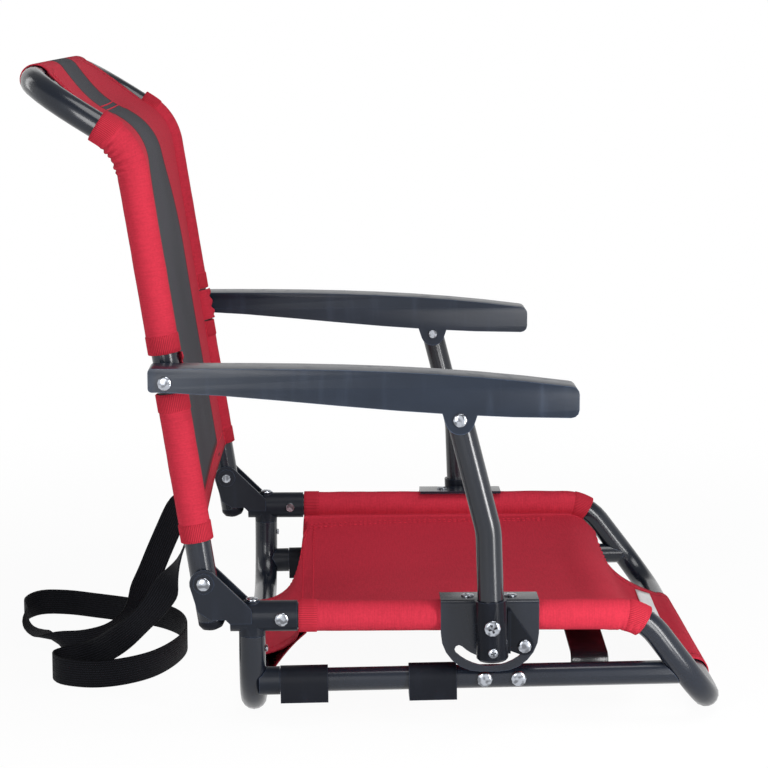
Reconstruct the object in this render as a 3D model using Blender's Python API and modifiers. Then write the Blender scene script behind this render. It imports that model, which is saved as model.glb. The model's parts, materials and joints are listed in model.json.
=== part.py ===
"""A folding stadium seat with arms: a steel tube frame that straddles a bleacher bench, two slung fabric
panels, and a four-bar linkage on each side that lays the back, the arms and the arm links flat on the seat.

Metres, +Z up, +X towards the front of the seat, -Y the sitter's right. The origin is on the floor, under
the middle of the seat. Run with: blender --background --python part.py
"""

import math

import bmesh
import bpy
from mathutils import Matrix, Vector

# Tubes, cloth and clearances
TUBE_DIAMETER = 0.0222
BAR_DIAMETER = 0.020
LINK_DIAMETER = 0.022
FABRIC_THICKNESS = 0.0012
SLEEVE_EASE = 0.0008
CLEARANCE = 0.0003
RUNNING_CLEARANCE = 0.0004
TUBE_SIDES = 16

# Seat frame: lengths along X are measured from the back's hinge
RAIL_SPACING = 0.450
RAIL_HEIGHT = 0.094
HINGE_RISE = 0.031
LEG_REACH = 0.0396
KNEE_REACH = 0.367
FRONT_REACH = 0.4285
KNEE_RADIUS = 0.045
CORNER_RADIUS = 0.045
LEG_TOP_DROP = 0.0163

# Back frame
BACK_LEAN = math.radians(9)
HEAD_LEAN = math.radians(58)
BACK_TO_KINK = 0.3665
HEAD_LENGTH = 0.0957
KINK_RADIUS = 0.050
HEAD_CORNER_RADIUS = 0.050
BACK_TAIL = 0.034
PLUG_LENGTH = 0.009
PLUG_SPIGOT = 0.011

# Fold linkage: the back, an arm, a link and the rail make a parallelogram
ARM_PIVOT_RADIUS = 0.176
LINK_REACH = 0.238
LINK_BEND_HEIGHT = 0.079
LINK_BEND_FORWARD = 0.0095
LINK_BEND_RADIUS = 0.060
LINK_TOP = 0.010
SLOT_RADIUS = 0.0365
SLOT_REST_ANGLE = math.radians(-38)
FOLD_ANGLE = math.radians(97)

# Hinge brackets
CHEEK_THICKNESS = 0.0035
CHEEK_ROUND = 0.0118
BRACKET_WALL = 0.0016
BRACKET_LENGTH = 0.0775
RAIL_END_REACH = 0.0450
LEG_SPIGOT = 0.024
SOCKET_WALL = 0.0022
RAIL_RIVET_REACH = 0.0645
LEG_SCREW_DROP = 0.0117
BOLT_REACH = 0.030

# Arm plates and cranks
PLATE_WIDTH = 0.082
PLATE_RIM = 0.0048
PLATE_THICKNESS = 0.0025
PLATE_BEND_RADIUS = 0.0040
PLATE_CORNER_RADIUS = 0.033
PLATE_SCREW_SPACING = 0.036
FOLLOWER_DIAMETER = 0.006
SLOT_WIDTH = 0.0074
CRANK_THICKNESS = 0.003
CRANK_FLANGE_REACH = 0.0165
CRANK_FLANGE_DEPTH = 0.009

# Links' boots
BOOT_WALL = 0.0020
BOOT_ABOVE = 0.021
BOOT_BELOW = 0.030
BOOT_FLOOR = 0.0027
BOOT_SCREW_DROP = 0.021

# Armrests: lengths along X are measured from the arm's rear pivot
ARM_BEHIND = 0.0135
ARM_AHEAD = 0.3345
ARM_WALL = 0.0026
ARM_TOP_REAR = 0.0118
ARM_TOP_DROP = 0.0165
ARM_TOP_POWER = 2.8
ARM_BOTTOM_REAR = 0.0075
ARM_BOTTOM_DROP = 0.0220
ARM_BOTTOM_POWER = 1.35
ARM_NOSE_RADIUS = 0.0065
ARM_REAR_RADIUS = 0.0032
ARM_EDGE_RADIUS = 0.0045
ARM_SOLID_REAR = 0.018
EAR_RADIUS = 0.012
ARM_FACE = 0.0166

# Lower bars and what is on them
BAR_INSET = 0.003
BAR_REAR_HEIGHT = 0.0368
BAR_FRONT_HEIGHT = 0.0430
BAR_START_REACH = 0.056
SOCKET_END_REACH = 0.0625
PAD_LENGTH = 0.040
PAD_DROP = 0.0166
PAD_WALL = 0.0022
PAD_REACHES = {"rear": 0.0830, "front": 0.1910}
BAR_RIVET_REACHES = {"rear": 0.2345, "front": 0.2631}
BELT_REACH = 0.325
BELT_WIDTH = 0.032
BELT_THICKNESS = 0.0016
BELT_TURN = 0.008

# Seat cloth
SLEEVE_REAR_REACH = 0.0785
SEAT_EDGE_DROP = 0.0150
SEAT_SAG = 0.0085
REAR_DIP = 0.030
REAR_FLAP_HALF = 0.100
FRONT_FLAP_HALF = 0.120
FRONT_FLAP_SAG = 0.017
FRONT_FLAP_EDGE_SAG = 0.006
SEAT_SLEEVE_START = math.radians(-135)

# Back cloth: lengths along the back tube from the hinge
BACK_HEM = 0.0345
SLEEVE_BELOW_ARM = 0.015
SLEEVE_ABOVE_ARM = 0.018
SLEEVE_PAST_KINK = 0.030
ARM_NOTCH = 0.012
BACK_SAG = 0.0030
BACK_SLEEVE_START = math.radians(-70)
KINK_SAG = 0.0040
HEAD_FLAP_HALF = 0.165
HEAD_FLAP_SAG = 0.0070

# Webbing strap
STRAP_WIDTH = 0.025
STRAP_THICKNESS = 0.0016
STRAP_SPACING = 0.018
STRAP_SEAM_TOP = 0.052
STRAP_SEAM_SIDE = 0.130

# Fasteners: shank diameter, head diameter, head height
HINGE_RIVET = (0.008, 0.0118, 0.0024)
SMALL_RIVET = (0.006, 0.0118, 0.0022)
BAR_RIVET = (0.005, 0.0132, 0.0026)
PIVOT_SCREW = (0.006, 0.0138, 0.0028)
BOOT_SCREW = (0.0034, 0.0084, 0.0020)
PLATE_SCREW = (0.005, 0.0110, 0.0018)
LEG_SCREW = (0.003, 0.0060, 0.0018)
RECESS_LENGTH_SHARE, RECESS_WIDTH_SHARE, RECESS_FLOOR_SHARE = 0.52, 0.13, 0.35
RECESS_TURN = math.radians(17)

SIDES = {"right": -1, "left": 1}

# Worked out from the values above
TUBE_RADIUS = TUBE_DIAMETER / 2
HINGE_HEIGHT = RAIL_HEIGHT + HINGE_RISE
LEG_TOP_HEIGHT = RAIL_HEIGHT - LEG_TOP_DROP
LEG_SCREW_HEIGHT = LEG_TOP_HEIGHT - LEG_SCREW_DROP
LOW_SLEEVE_TOP = ARM_PIVOT_RADIUS - SLEEVE_BELOW_ARM
HIGH_SLEEVE_BASE = ARM_PIVOT_RADIUS + SLEEVE_ABOVE_ARM
HALF_SPACING = RAIL_SPACING / 2
SLEEVE_RADIUS = TUBE_RADIUS + SLEEVE_EASE + FABRIC_THICKNESS / 2
SLEEVE_OUTER = SLEEVE_RADIUS + FABRIC_THICKNESS / 2
FLOOR_BAR_HEIGHT = SLEEVE_OUTER
BACK_DIRECTION = Vector((-math.sin(BACK_LEAN), 0, math.cos(BACK_LEAN)))
HEAD_DIRECTION = Vector((-math.sin(HEAD_LEAN), 0, math.cos(HEAD_LEAN)))
HEAD_BAR_REACH = -(BACK_DIRECTION * BACK_TO_KINK + HEAD_DIRECTION * HEAD_LENGTH).x
HINGE_X = (HEAD_BAR_REACH - FRONT_REACH) / 2
HINGE = Vector((HINGE_X, 0, HINGE_HEIGHT))
ARM_PIVOT = HINGE + BACK_DIRECTION * ARM_PIVOT_RADIUS
LINK_PIVOT = Vector((HINGE_X + LINK_REACH, 0, RAIL_HEIGHT))
ARM_PIN = LINK_PIVOT + BACK_DIRECTION * ARM_PIVOT_RADIUS
LINK_BEND = LINK_PIVOT + Vector((0, 0, LINK_BEND_HEIGHT)) + Vector((LINK_BEND_FORWARD, 0, 0)) + Vector(
    (-math.tan(BACK_LEAN) * LINK_BEND_HEIGHT, 0, 0)
)
PLATE_FACE = SLEEVE_OUTER + RUNNING_CLEARANCE
CRANK_FACE = PLATE_FACE + PLATE_THICKNESS + RUNNING_CLEARANCE
BOOT_RADIUS = LINK_DIAMETER / 2 + CLEARANCE + BOOT_WALL
LINK_OFFSET = CRANK_FACE + CRANK_THICKNESS + RUNNING_CLEARANCE + BOOT_RADIUS
ARM_HALF_WIDTH = LINK_OFFSET - ARM_FACE


def collection(name):
    made = bpy.data.collections.new(name)
    bpy.context.scene.collection.children.link(made)
    return made


def clear_scene():
    for obj in list(bpy.data.objects):
        bpy.data.objects.remove(obj)


def material(name, colour, roughness, metallic=0.0):
    made = bpy.data.materials.new(name)
    made.use_nodes = True
    shader = made.node_tree.nodes["Principled BSDF"]
    shader.inputs["Base Color"].default_value = (*colour, 1)
    shader.inputs["Roughness"].default_value = roughness
    shader.inputs["Metallic"].default_value = metallic
    return made


clear_scene()
PARTS = collection("stadium_seat")
CUTTERS = collection("stadium_seat_cutters")
STEEL_PAINT = material("charcoal_powder_coat", (0.060, 0.066, 0.080), 0.35, 0.3)
MOULDED = material("charcoal_moulded_plastic", (0.055, 0.061, 0.073), 0.5)
ARM_PLASTIC = material("slate_arm_plastic", (0.058, 0.066, 0.080), 0.45)
ZINC = material("bright_zinc", (0.75, 0.77, 0.80), 0.25, 1.0)
RED_CLOTH = material("red_woven_polyester", (0.47, 0.014, 0.035), 0.85)
WEBBING = material("black_webbing", (0.012, 0.012, 0.014), 0.8)
NYLON = material("black_nylon", (0.02, 0.02, 0.022), 0.5)


def put(name, data, finish, pivot=None):
    """A named part from mesh or curve data in world coordinates, carried by its pivot if it moves."""
    obj = bpy.data.objects.new(name, data)
    PARTS.objects.link(obj)
    data.materials.clear()
    data.materials.append(finish)
    carry(obj, pivot)
    return obj


def carry(obj, pivot):
    if pivot:
        obj.parent = pivot
        obj.matrix_parent_inverse = Matrix.Translation(-pivot.location)


def pivot_empty(name, at):
    empty = bpy.data.objects.new(name, None)
    empty.location = at
    empty.empty_display_size = 0.03
    PARTS.objects.link(empty)
    return empty


def mesh_from(bm, smooth_angle=35):
    bmesh.ops.remove_doubles(bm, verts=bm.verts, dist=1e-6)
    bmesh.ops.recalc_face_normals(bm, faces=bm.faces)
    mesh = bpy.data.meshes.new("shape")
    bm.to_mesh(mesh)
    bm.free()
    mesh.shade_smooth()
    mesh.set_sharp_from_angle(angle=math.radians(smooth_angle))
    return mesh


def evaluated(obj):
    """The mesh of an object with its modifiers, in world coordinates."""
    graph = bpy.context.evaluated_depsgraph_get()
    mesh = bpy.data.meshes.new_from_object(obj.evaluated_get(graph))
    bm = bmesh.new()
    bm.from_mesh(mesh)
    bmesh.ops.transform(bm, matrix=obj.matrix_world, verts=bm.verts)
    bpy.data.meshes.remove(mesh)
    return bm


def from_curve(curve):
    """The welded mesh of curve data, with its caps closed."""
    helper = bpy.data.objects.new("guide", curve)
    PARTS.objects.link(helper)
    mesh = mesh_from(evaluated(helper))
    bpy.data.objects.remove(helper)
    return mesh


def tube_curve(points, diameter, sides=TUBE_SIDES):
    curve = bpy.data.curves.new("tube", "CURVE")
    curve.dimensions = "3D"
    curve.bevel_depth = diameter / 2
    curve.bevel_resolution = (sides - 4) // 2
    curve.use_fill_caps = True
    spline = curve.splines.new("POLY")
    spline.points.add(len(points) - 1)
    for point, place in zip(spline.points, points):
        point.co = (*place, 1)
    return curve


def tube_mesh(points, diameter, sides=TUBE_SIDES):
    return from_curve(tube_curve(points, diameter, sides))


def flat_mesh(outlines, thickness):
    """A plate in the local XY plane, from an outer outline and any holes, centred on its thickness."""
    curve = bpy.data.curves.new("outline", "CURVE")
    curve.dimensions = "2D"
    curve.fill_mode = "BOTH"
    curve.extrude = thickness / 2
    for outline in outlines:
        spline = curve.splines.new("POLY")
        spline.points.add(len(outline) - 1)
        for point, place in zip(spline.points, outline):
            point.co = (place[0], place[1], 0, 1)
        spline.use_cyclic_u = True
    return from_curve(curve)


def moved(mesh, matrix):
    mesh.transform(matrix)
    if matrix.determinant() < 0:
        mesh.flip_normals()
    return mesh


def upright(x, y, z):
    """Carries a plate drawn as (x, z) to the X-Z plane through this place."""
    return Matrix.Translation((x, y, z)) @ Matrix.Rotation(math.radians(90), 4, "X")


def across(x, y, z):
    """Carries a plate drawn as (y, z) to the Y-Z plane through this place."""
    return Matrix.Translation((x, y, z)) @ Matrix.Rotation(math.radians(90), 4, "Z") @ Matrix.Rotation(
        math.radians(90), 4, "X"
    )


def turning(at, axis):
    """Carries a shape turned about +Z to this place and axis."""
    return Matrix.Translation(at) @ Vector(axis).to_track_quat("Z", "Y").to_matrix().to_4x4()


def cylinder(at, axis, radius, length, segments=TUBE_SIDES):
    bm = bmesh.new()
    bmesh.ops.create_cone(
        bm, cap_ends=True, segments=segments, radius1=radius, radius2=radius, depth=length,
        matrix=turning(at, axis),
    )
    return mesh_from(bm)


def block(low, high):
    bm = bmesh.new()
    low, high = Vector(low), Vector(high)
    scale = Matrix.Diagonal((*(high - low), 1))
    bmesh.ops.create_cube(bm, size=1, matrix=Matrix.Translation((low + high) / 2) @ scale)
    return mesh_from(bm)


def boolean(obj, mesh, operation):
    helper = bpy.data.objects.new(f"{obj.name}_{operation.lower()}", mesh)
    CUTTERS.objects.link(helper)
    helper.hide_render = True
    helper.display_type = "WIRE"
    change = obj.modifiers.new(operation.title(), "BOOLEAN")
    change.operation = operation
    change.solver = "EXACT"
    change.object = helper


def cut(obj, *meshes):
    for mesh in meshes:
        boolean(obj, mesh, "DIFFERENCE")


def join(obj, *meshes):
    for mesh in meshes:
        boolean(obj, mesh, "UNION")


def mirrored(obj, name, finish, pivot=None):
    """The right-hand twin of a left-hand part."""
    bm = evaluated(obj)
    bmesh.ops.transform(bm, matrix=Matrix.Diagonal((1, -1, 1, 1)), verts=bm.verts)
    bmesh.ops.reverse_faces(bm, faces=bm.faces)
    return put(name, mesh_from(bm), finish, pivot)


def arc(centre, radius, start, end, steps):
    turn = (end - start) / steps
    return [
        (centre[0] + radius * math.cos(start + turn * i), centre[1] + radius * math.sin(start + turn * i))
        for i in range(steps + 1)
    ]


def circle(centre, radius, segments=TUBE_SIDES):
    return arc(centre, radius, 0, math.tau * (1 - 1 / segments), segments - 1)


def convex_outline(points):
    """The outline that a string pulled round these points would take."""
    points = sorted(points)

    def chain(run):
        kept = []
        for p in run:
            while len(kept) > 1 and (
                (kept[-1][0] - kept[-2][0]) * (p[1] - kept[-2][1])
                <= (kept[-1][1] - kept[-2][1]) * (p[0] - kept[-2][0])
            ):
                kept.pop()
            kept.append(p)
        return kept[:-1]

    return chain(points) + chain(points[::-1])


def bent_path(corners, radii, steps=6):
    """A run of straight tube with its inner corners bent to these radii."""
    path = [Vector(corners[0])]
    for before, corner, after, radius in zip(corners, corners[1:], corners[2:], radii):
        corner = Vector(corner)
        back = (Vector(before) - corner).normalized()
        on = (Vector(after) - corner).normalized()
        half = back.angle(on) / 2
        centre = corner + (back + on).normalized() * radius / math.sin(half)
        start = corner + back * radius / math.tan(half) - centre
        end = corner + on * radius / math.tan(half) - centre
        path += [centre + start.slerp(end, i / steps).normalized() * radius for i in range(steps + 1)]
    return path + [Vector(corners[-1])]


def fastener(name, at, axis, sizes, reach, pivot=None, tail=0.0, steps=10, finish=None):
    """A domed rivet or screw seated at this place, head along axis; tail is the height of a second head."""
    shank, head, height = sizes
    mesh = bpy.data.meshes.new(name)
    crown = [
        (head / 2 * math.sin(turn), height * (0.35 + 0.65 * math.cos(turn)))
        for turn in (0, math.radians(40), math.radians(70), math.radians(90))
    ]
    crown[0] = (0, height)
    profile = [*crown, (head / 2, 0), (shank / 2, 0), (shank / 2, -reach)]
    if tail:
        profile += [(head * 0.42, -reach), (head * 0.36, -reach - tail), (0, -reach - tail)]
    else:
        profile += [(0, -reach)]
    mesh.from_pydata([(x, 0, z) for x, z in profile], [(i, i + 1) for i in range(len(profile) - 1)], [])
    obj = put(name, mesh, finish or ZINC)
    screw = obj.modifiers.new("Turn", "SCREW")
    screw.axis = "Z"
    screw.steps = screw.render_steps = steps
    screw.use_merge_vertices = True
    screw.merge_threshold = 1e-6
    screw.use_smooth_shade = True
    mesh.transform(turning(at, axis))
    frame = bpy.data.objects.new(f"{name}_axis", None)
    frame.matrix_world = turning(at, axis)
    CUTTERS.objects.link(frame)
    screw.object = frame
    carry(obj, pivot)
    return obj


def cross_recess(screw, at, axis, sizes):
    """Cuts a cross recess for a screwdriver into a screw's head."""
    _, head, height = sizes
    long, wide = head * RECESS_LENGTH_SHARE / 2, head * RECESS_WIDTH_SHARE / 2
    quarter = [(wide, -long), (wide, -wide), (long, -wide)]
    turns = [Matrix.Rotation(RECESS_TURN + math.pi / 2 * k, 2) for k in range(4)]
    outline = [tuple(turn @ Vector(corner)) for turn in turns for corner in quarter]
    cutter = flat_mesh([outline], 2 * height)
    cut(screw, moved(cutter, turning(Vector(at) + Vector(axis) * height * RECESS_FLOOR_SHARE, axis)
                     @ Matrix.Translation((0, 0, height))))


def hole(at, axis, diameter, length):
    return cylinder(at, axis, diameter / 2 + CLEARANCE, length, 10)


def side_point(sign, x, outward, z):
    """A place given by its distance outward from the rails' plane."""
    return Vector((x, sign * (HALF_SPACING + outward), z))


# Tube frames


def seat_frame_corners():
    knee, front = HINGE_X + KNEE_REACH, HINGE_X + FRONT_REACH
    half = [
        (HINGE_X + RAIL_END_REACH, RAIL_HEIGHT),
        (knee, RAIL_HEIGHT),
        (front, FLOOR_BAR_HEIGHT),
    ]
    left = [(x, HALF_SPACING, z) for x, z in half]
    return [(x, -y, z) for x, y, z in left] + left[::-1]


def seat_frame_path():
    return bent_path(seat_frame_corners(), [KNEE_RADIUS, CORNER_RADIUS, CORNER_RADIUS, KNEE_RADIUS])


def leg_path():
    x = HINGE_X + LEG_REACH
    left = [(x, HALF_SPACING, LEG_TOP_HEIGHT), (x, HALF_SPACING, FLOOR_BAR_HEIGHT)]
    return bent_path([(x, -y, z) for x, y, z in left] + left[::-1], [CORNER_RADIUS, CORNER_RADIUS])


def back_path():
    kink = HINGE + BACK_DIRECTION * BACK_TO_KINK
    half = [HINGE - BACK_DIRECTION * BACK_TAIL, kink, kink + HEAD_DIRECTION * HEAD_LENGTH]
    left = [(p.x, HALF_SPACING, p.z) for p in half]
    corners = [(x, -y, z) for x, y, z in left] + left[::-1]
    return bent_path(corners, [KINK_RADIUS, HEAD_CORNER_RADIUS, HEAD_CORNER_RADIUS, KINK_RADIUS])


def make_frames(back_pivot):
    seat = put("seat_frame_tube", tube_mesh(seat_frame_path(), TUBE_DIAMETER), STEEL_PAINT)
    leg = put("rear_leg_tube", tube_mesh(leg_path(), TUBE_DIAMETER), STEEL_PAINT)
    back = put("back_frame_tube", tube_mesh(back_path(), TUBE_DIAMETER), STEEL_PAINT, back_pivot)
    through = TUBE_DIAMETER * 2
    inner = TUBE_DIAMETER - 2 * SOCKET_WALL
    for sign in SIDES.values():
        outward = (0, sign, 0)
        rivet = side_point(sign, HINGE_X + RAIL_RIVET_REACH, 0, RAIL_HEIGHT)
        cut(seat, hole(rivet, outward, SMALL_RIVET[0], through))
        mouth = side_point(sign, HINGE_X + LEG_REACH, 0, LEG_TOP_HEIGHT)
        screw_place = side_point(sign, HINGE_X + LEG_REACH + TUBE_RADIUS, 0, LEG_SCREW_HEIGHT)
        cut(leg, cylinder(mouth, (0, 0, 1), inner / 2 + CLEARANCE, 2 * (LEG_SPIGOT + CLEARANCE)))
        cut(leg, hole(screw_place, (1, 0, 0), LEG_SCREW[0], TUBE_RADIUS))
        tail = side_point(sign, *side_of(HINGE - BACK_DIRECTION * BACK_TAIL))
        cut(back, hole(side_point(sign, *side_of(HINGE)), outward, HINGE_RIVET[0], through))
        cut(back, hole(side_point(sign, *side_of(ARM_PIVOT)), outward, SMALL_RIVET[0], through))
        cut(back, cylinder(tail, BACK_DIRECTION, inner / 2 + CLEARANCE, 2 * (PLUG_SPIGOT + CLEARANCE)))


def side_of(point):
    return point.x, 0, point.z


def make_plugs(back_pivot):
    """The rounded plugs pressed into the back tube's lower ends."""
    spigot = TUBE_RADIUS - SOCKET_WALL
    dome = [
        (TUBE_RADIUS * math.cos(turn), -CLEARANCE - PLUG_LENGTH * (0.35 + 0.65 * math.sin(turn)))
        for turn in (math.radians(step) for step in (0, 40, 70))
    ]
    profile = [
        (0, PLUG_SPIGOT), (spigot, PLUG_SPIGOT), (spigot, -CLEARANCE), (TUBE_RADIUS, -CLEARANCE), *dome,
        (0, -CLEARANCE - PLUG_LENGTH),
    ]
    for side, sign in SIDES.items():
        at = side_point(sign, *side_of(HINGE - BACK_DIRECTION * BACK_TAIL))
        turned(f"back_tube_plug_{side}", profile, at, BACK_DIRECTION, NYLON, back_pivot)


def turned(name, profile, at, axis, finish, pivot=None, steps=TUBE_SIDES):
    """A profile of radius and height, top to bottom, turned about an axis."""
    return put(name, turned_mesh(profile, at, axis, steps), finish, pivot)


def turned_mesh(profile, at, axis, steps=TUBE_SIDES):
    bm = bmesh.new()
    verts = [bm.verts.new((x, 0, z)) for x, z in profile]
    edges = [bm.edges.new(pair) for pair in zip(verts, verts[1:])]
    if profile[0][0] > 0:
        edges.append(bm.edges.new((verts[-1], verts[0])))
    bmesh.ops.spin(
        bm, geom=verts + edges, cent=(0, 0, 0), axis=(0, 0, 1), angle=math.tau, steps=steps, use_merge=True,
        use_duplicate=False,
    )
    bmesh.ops.transform(bm, matrix=turning(at, axis), verts=bm.verts)
    return mesh_from(bm)


# Hinge brackets


def cheek_outline():
    """A cheek seen from the side, as (x, z) from the hinge: round over the pivot, slanted, stepped below."""
    socket_top = RAIL_HEIGHT - HINGE_HEIGHT
    foot = socket_top - CHEEK_THICKNESS
    round_top = arc((0, 0), CHEEK_ROUND, math.radians(190), math.radians(48), 8)
    slant_end = LEG_REACH
    return [
        (-0.42 * CHEEK_ROUND, socket_top * 0.78),
        *round_top,
        (slant_end, socket_top * 0.72),
        (slant_end, foot),
        (LEG_REACH - TUBE_RADIUS - CHEEK_THICKNESS * 2, foot),
        (LEG_REACH - TUBE_RADIUS - CHEEK_THICKNESS * 3, socket_top),
        (0.45 * CHEEK_ROUND, socket_top),
    ]


def make_hinge_brackets():
    y = HALF_SPACING
    sleeve = TUBE_RADIUS + CLEARANCE + BRACKET_WALL
    leg_x = HINGE_X + LEG_REACH
    cheek_gap = TUBE_RADIUS + RUNNING_CLEARANCE
    cheek_middle = cheek_gap + CHEEK_THICKNESS / 2
    end_x = HINGE_X + BRACKET_LENGTH
    web_x = HINGE_X + LEG_REACH - TUBE_RADIUS - CHEEK_THICKNESS * 2
    collar_base = LEG_TOP_HEIGHT + CLEARANCE
    start_x = web_x
    left = put(
        "hinge_bracket_left",
        cylinder(((start_x + end_x) / 2, y, RAIL_HEIGHT), (1, 0, 0), sleeve, end_x - start_x),
        MOULDED,
    )
    cheek = flat_mesh([cheek_outline()], CHEEK_THICKNESS)
    ring_radius, ring_height = HINGE_RIVET[1] * 0.74, CHEEK_THICKNESS * 0.3
    for inout in (-1, 1):
        middle = y + inout * cheek_middle
        join(left, moved(cheek.copy(), upright(HINGE_X, middle, HINGE_HEIGHT)))
        ring_at = (HINGE_X, y + inout * (cheek_gap + CHEEK_THICKNESS), HINGE_HEIGHT)
        join(left, cylinder(ring_at, (0, 1, 0), ring_radius, 2 * ring_height))
    collar_height = RAIL_HEIGHT - collar_base
    join(left, cylinder((leg_x, y, collar_base + collar_height / 2), (0, 0, 1), TUBE_RADIUS, collar_height))
    spigot = TUBE_RADIUS - SOCKET_WALL
    join(left, cylinder((leg_x, y, collar_base), (0, 0, 1), spigot, 2 * LEG_SPIGOT))
    boss = BRACKET_BOLT_SEAT - RAIL_HEIGHT
    join(left, cylinder((leg_x, y, RAIL_HEIGHT + boss / 2), (0, 0, 1), SMALL_RIVET[1] * 0.6, boss))
    rail_bore = end_x - HINGE_X - RAIL_END_REACH + 2 * CLEARANCE
    rail_middle = HINGE_X + RAIL_END_REACH - 2 * CLEARANCE + rail_bore
    bore_radius = TUBE_RADIUS + CLEARANCE * 1.6
    cut(left, cylinder((rail_middle, y, RAIL_HEIGHT), (1, 0, 0), bore_radius, 2 * rail_bore))
    through = 4 * sleeve
    cut(left, hole((HINGE_X, y, HINGE_HEIGHT), (0, 1, 0), HINGE_RIVET[0], through))
    cut(left, hole((HINGE_X + RAIL_RIVET_REACH, y, RAIL_HEIGHT), (0, 1, 0), SMALL_RIVET[0], through))
    bolt_depth = 2 * (BOLT_REACH + CLEARANCE)
    cut(left, hole((leg_x, y, BRACKET_BOLT_SEAT), (0, 0, 1), SMALL_RIVET[0], bolt_depth))
    screw_depth = TUBE_RADIUS + SOCKET_WALL
    cut(left, hole((leg_x + TUBE_RADIUS, y, LEG_SCREW_HEIGHT), (1, 0, 0), LEG_SCREW[0], screw_depth))
    mirrored(left, "hinge_bracket_right", MOULDED)


BRACKET_BOLT_SEAT = RAIL_HEIGHT + TUBE_RADIUS + BRACKET_WALL + 2 * CLEARANCE


def make_bracket_fasteners():
    sleeve = TUBE_RADIUS + CLEARANCE + BRACKET_WALL
    ring = TUBE_RADIUS + RUNNING_CLEARANCE + CHEEK_THICKNESS * 1.3 + CLEARANCE
    for side, sign in SIDES.items():
        outward = (0, sign, 0)
        hinge = side_point(sign, HINGE_X, ring, HINGE_HEIGHT)
        fastener(f"hinge_rivet_{side}", hinge, outward, HINGE_RIVET, 2 * ring, tail=HINGE_RIVET[2])
        rail = side_point(sign, HINGE_X + RAIL_RIVET_REACH, sleeve + CLEARANCE, RAIL_HEIGHT)
        grip = 2 * (sleeve + CLEARANCE)
        fastener(f"rail_rivet_{side}", rail, outward, SMALL_RIVET, grip, tail=SMALL_RIVET[2])
        bolt = side_point(sign, HINGE_X + LEG_REACH, 0, BRACKET_BOLT_SEAT + CLEARANCE)
        fastener(f"bracket_bolt_{side}", bolt, (0, 0, 1), SMALL_RIVET, BOLT_REACH)
        screw = side_point(sign, HINGE_X + LEG_REACH + TUBE_RADIUS + CLEARANCE, 0, LEG_SCREW_HEIGHT)
        fastener(f"leg_screw_{side}", screw, (1, 0, 0), LEG_SCREW, TUBE_RADIUS / 2, steps=10)


# Lower bars


def bar_height(reach):
    rise = (BAR_FRONT_HEIGHT - BAR_REAR_HEIGHT) / (FRONT_REACH - LEG_REACH)
    return BAR_REAR_HEIGHT + rise * (reach - LEG_REACH)


def bar_point(sign, reach):
    return side_point(sign, HINGE_X + reach, -BAR_INSET, bar_height(reach))


def bar_direction():
    return (bar_point(1, FRONT_REACH) - bar_point(1, LEG_REACH)).normalized()


def pad_outline():
    """A bench pad seen end on: round over the bar, flat below."""
    radius = BAR_DIAMETER / 2 + CLEARANCE + PAD_WALL
    return [*arc((0, 0), radius, 0, math.pi, 8), (-radius, -PAD_DROP), (radius, -PAD_DROP)]


def make_lower_bars():
    along = bar_direction()
    fat = 2 * CLEARANCE
    bar_radius = BAR_DIAMETER / 2
    socket_radius = bar_radius + CLEARANCE + PAD_WALL * 0.75
    left = put(
        "lower_bar_left",
        tube_mesh([bar_point(1, BAR_START_REACH), bar_point(1, FRONT_REACH)], BAR_DIAMETER),
        STEEL_PAINT,
    )
    cut(left, tube_mesh(seat_frame_path(), TUBE_DIAMETER + 2 * fat))
    cut(left, *[front_waste()])
    for reach in BAR_RIVET_REACHES.values():
        cut(left, hole(bar_point(1, reach), (0, 1, 0), BAR_RIVET[0], 2 * BAR_DIAMETER))
    mirrored(left, "lower_bar_right", STEEL_PAINT)

    socket_start, socket_end = bar_point(1, LEG_REACH), bar_point(1, SOCKET_END_REACH)
    socket = put("bar_socket_left", tube_mesh([socket_start, socket_end], 2 * socket_radius), MOULDED)
    bore_start = bar_point(1, BAR_START_REACH - fat)
    bore_end = bar_point(1, SOCKET_END_REACH + BAR_DIAMETER)
    cut(socket, tube_mesh([bore_start, bore_end], BAR_DIAMETER + 2 * fat))
    cut(socket, tube_mesh(leg_path(), TUBE_DIAMETER + 2 * fat))
    cut(socket, block(*leg_waste()))
    mirrored(socket, "bar_socket_right", MOULDED)

    turn = Matrix.Rotation(-along.angle(Vector((1, 0, 0))), 4, "Y")
    for end, reach in PAD_REACHES.items():
        bore = circle((0, 0), bar_radius + CLEARANCE * 1.6)
        pad = flat_mesh([pad_outline(), bore], PAD_LENGTH)
        place = bar_point(1, reach)
        moved(pad, Matrix.Translation(place) @ turn @ across(0, 0, 0))
        left = put(f"bench_pad_left_{end}", pad, NYLON)
        mirrored(left, f"bench_pad_right_{end}", NYLON)

    for side, sign in SIDES.items():
        for end, reach in BAR_RIVET_REACHES.items():
            seat = bar_point(sign, reach) + Vector((0, sign * (bar_radius + CLEARANCE), 0))
            grip = 2 * (bar_radius + CLEARANCE)
            name = f"bar_rivet_{side}_{end}"
            fastener(name, seat, (0, sign, 0), BAR_RIVET, grip, tail=BAR_RIVET[2] / 2)


def front_waste():
    """What lies in front of the sloping front tube, where the lower bar's blank runs on."""
    knee, front = Vector(seat_frame_corners()[-2]), Vector(seat_frame_corners()[-3])
    slope = (front - knee).normalized()
    forward = Vector((-slope.z, 0, slope.x))
    size = KNEE_REACH
    centre = bar_point(1, FRONT_REACH)
    on_tube = knee + slope * ((centre - knee) @ slope)
    bm = bmesh.new()
    frame = Matrix((forward, Vector((0, 1, 0)), slope)).transposed().to_4x4()
    bmesh.ops.create_cube(bm, size=size, matrix=Matrix.Translation(on_tube + forward * size / 2) @ frame)
    return mesh_from(bm)


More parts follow.
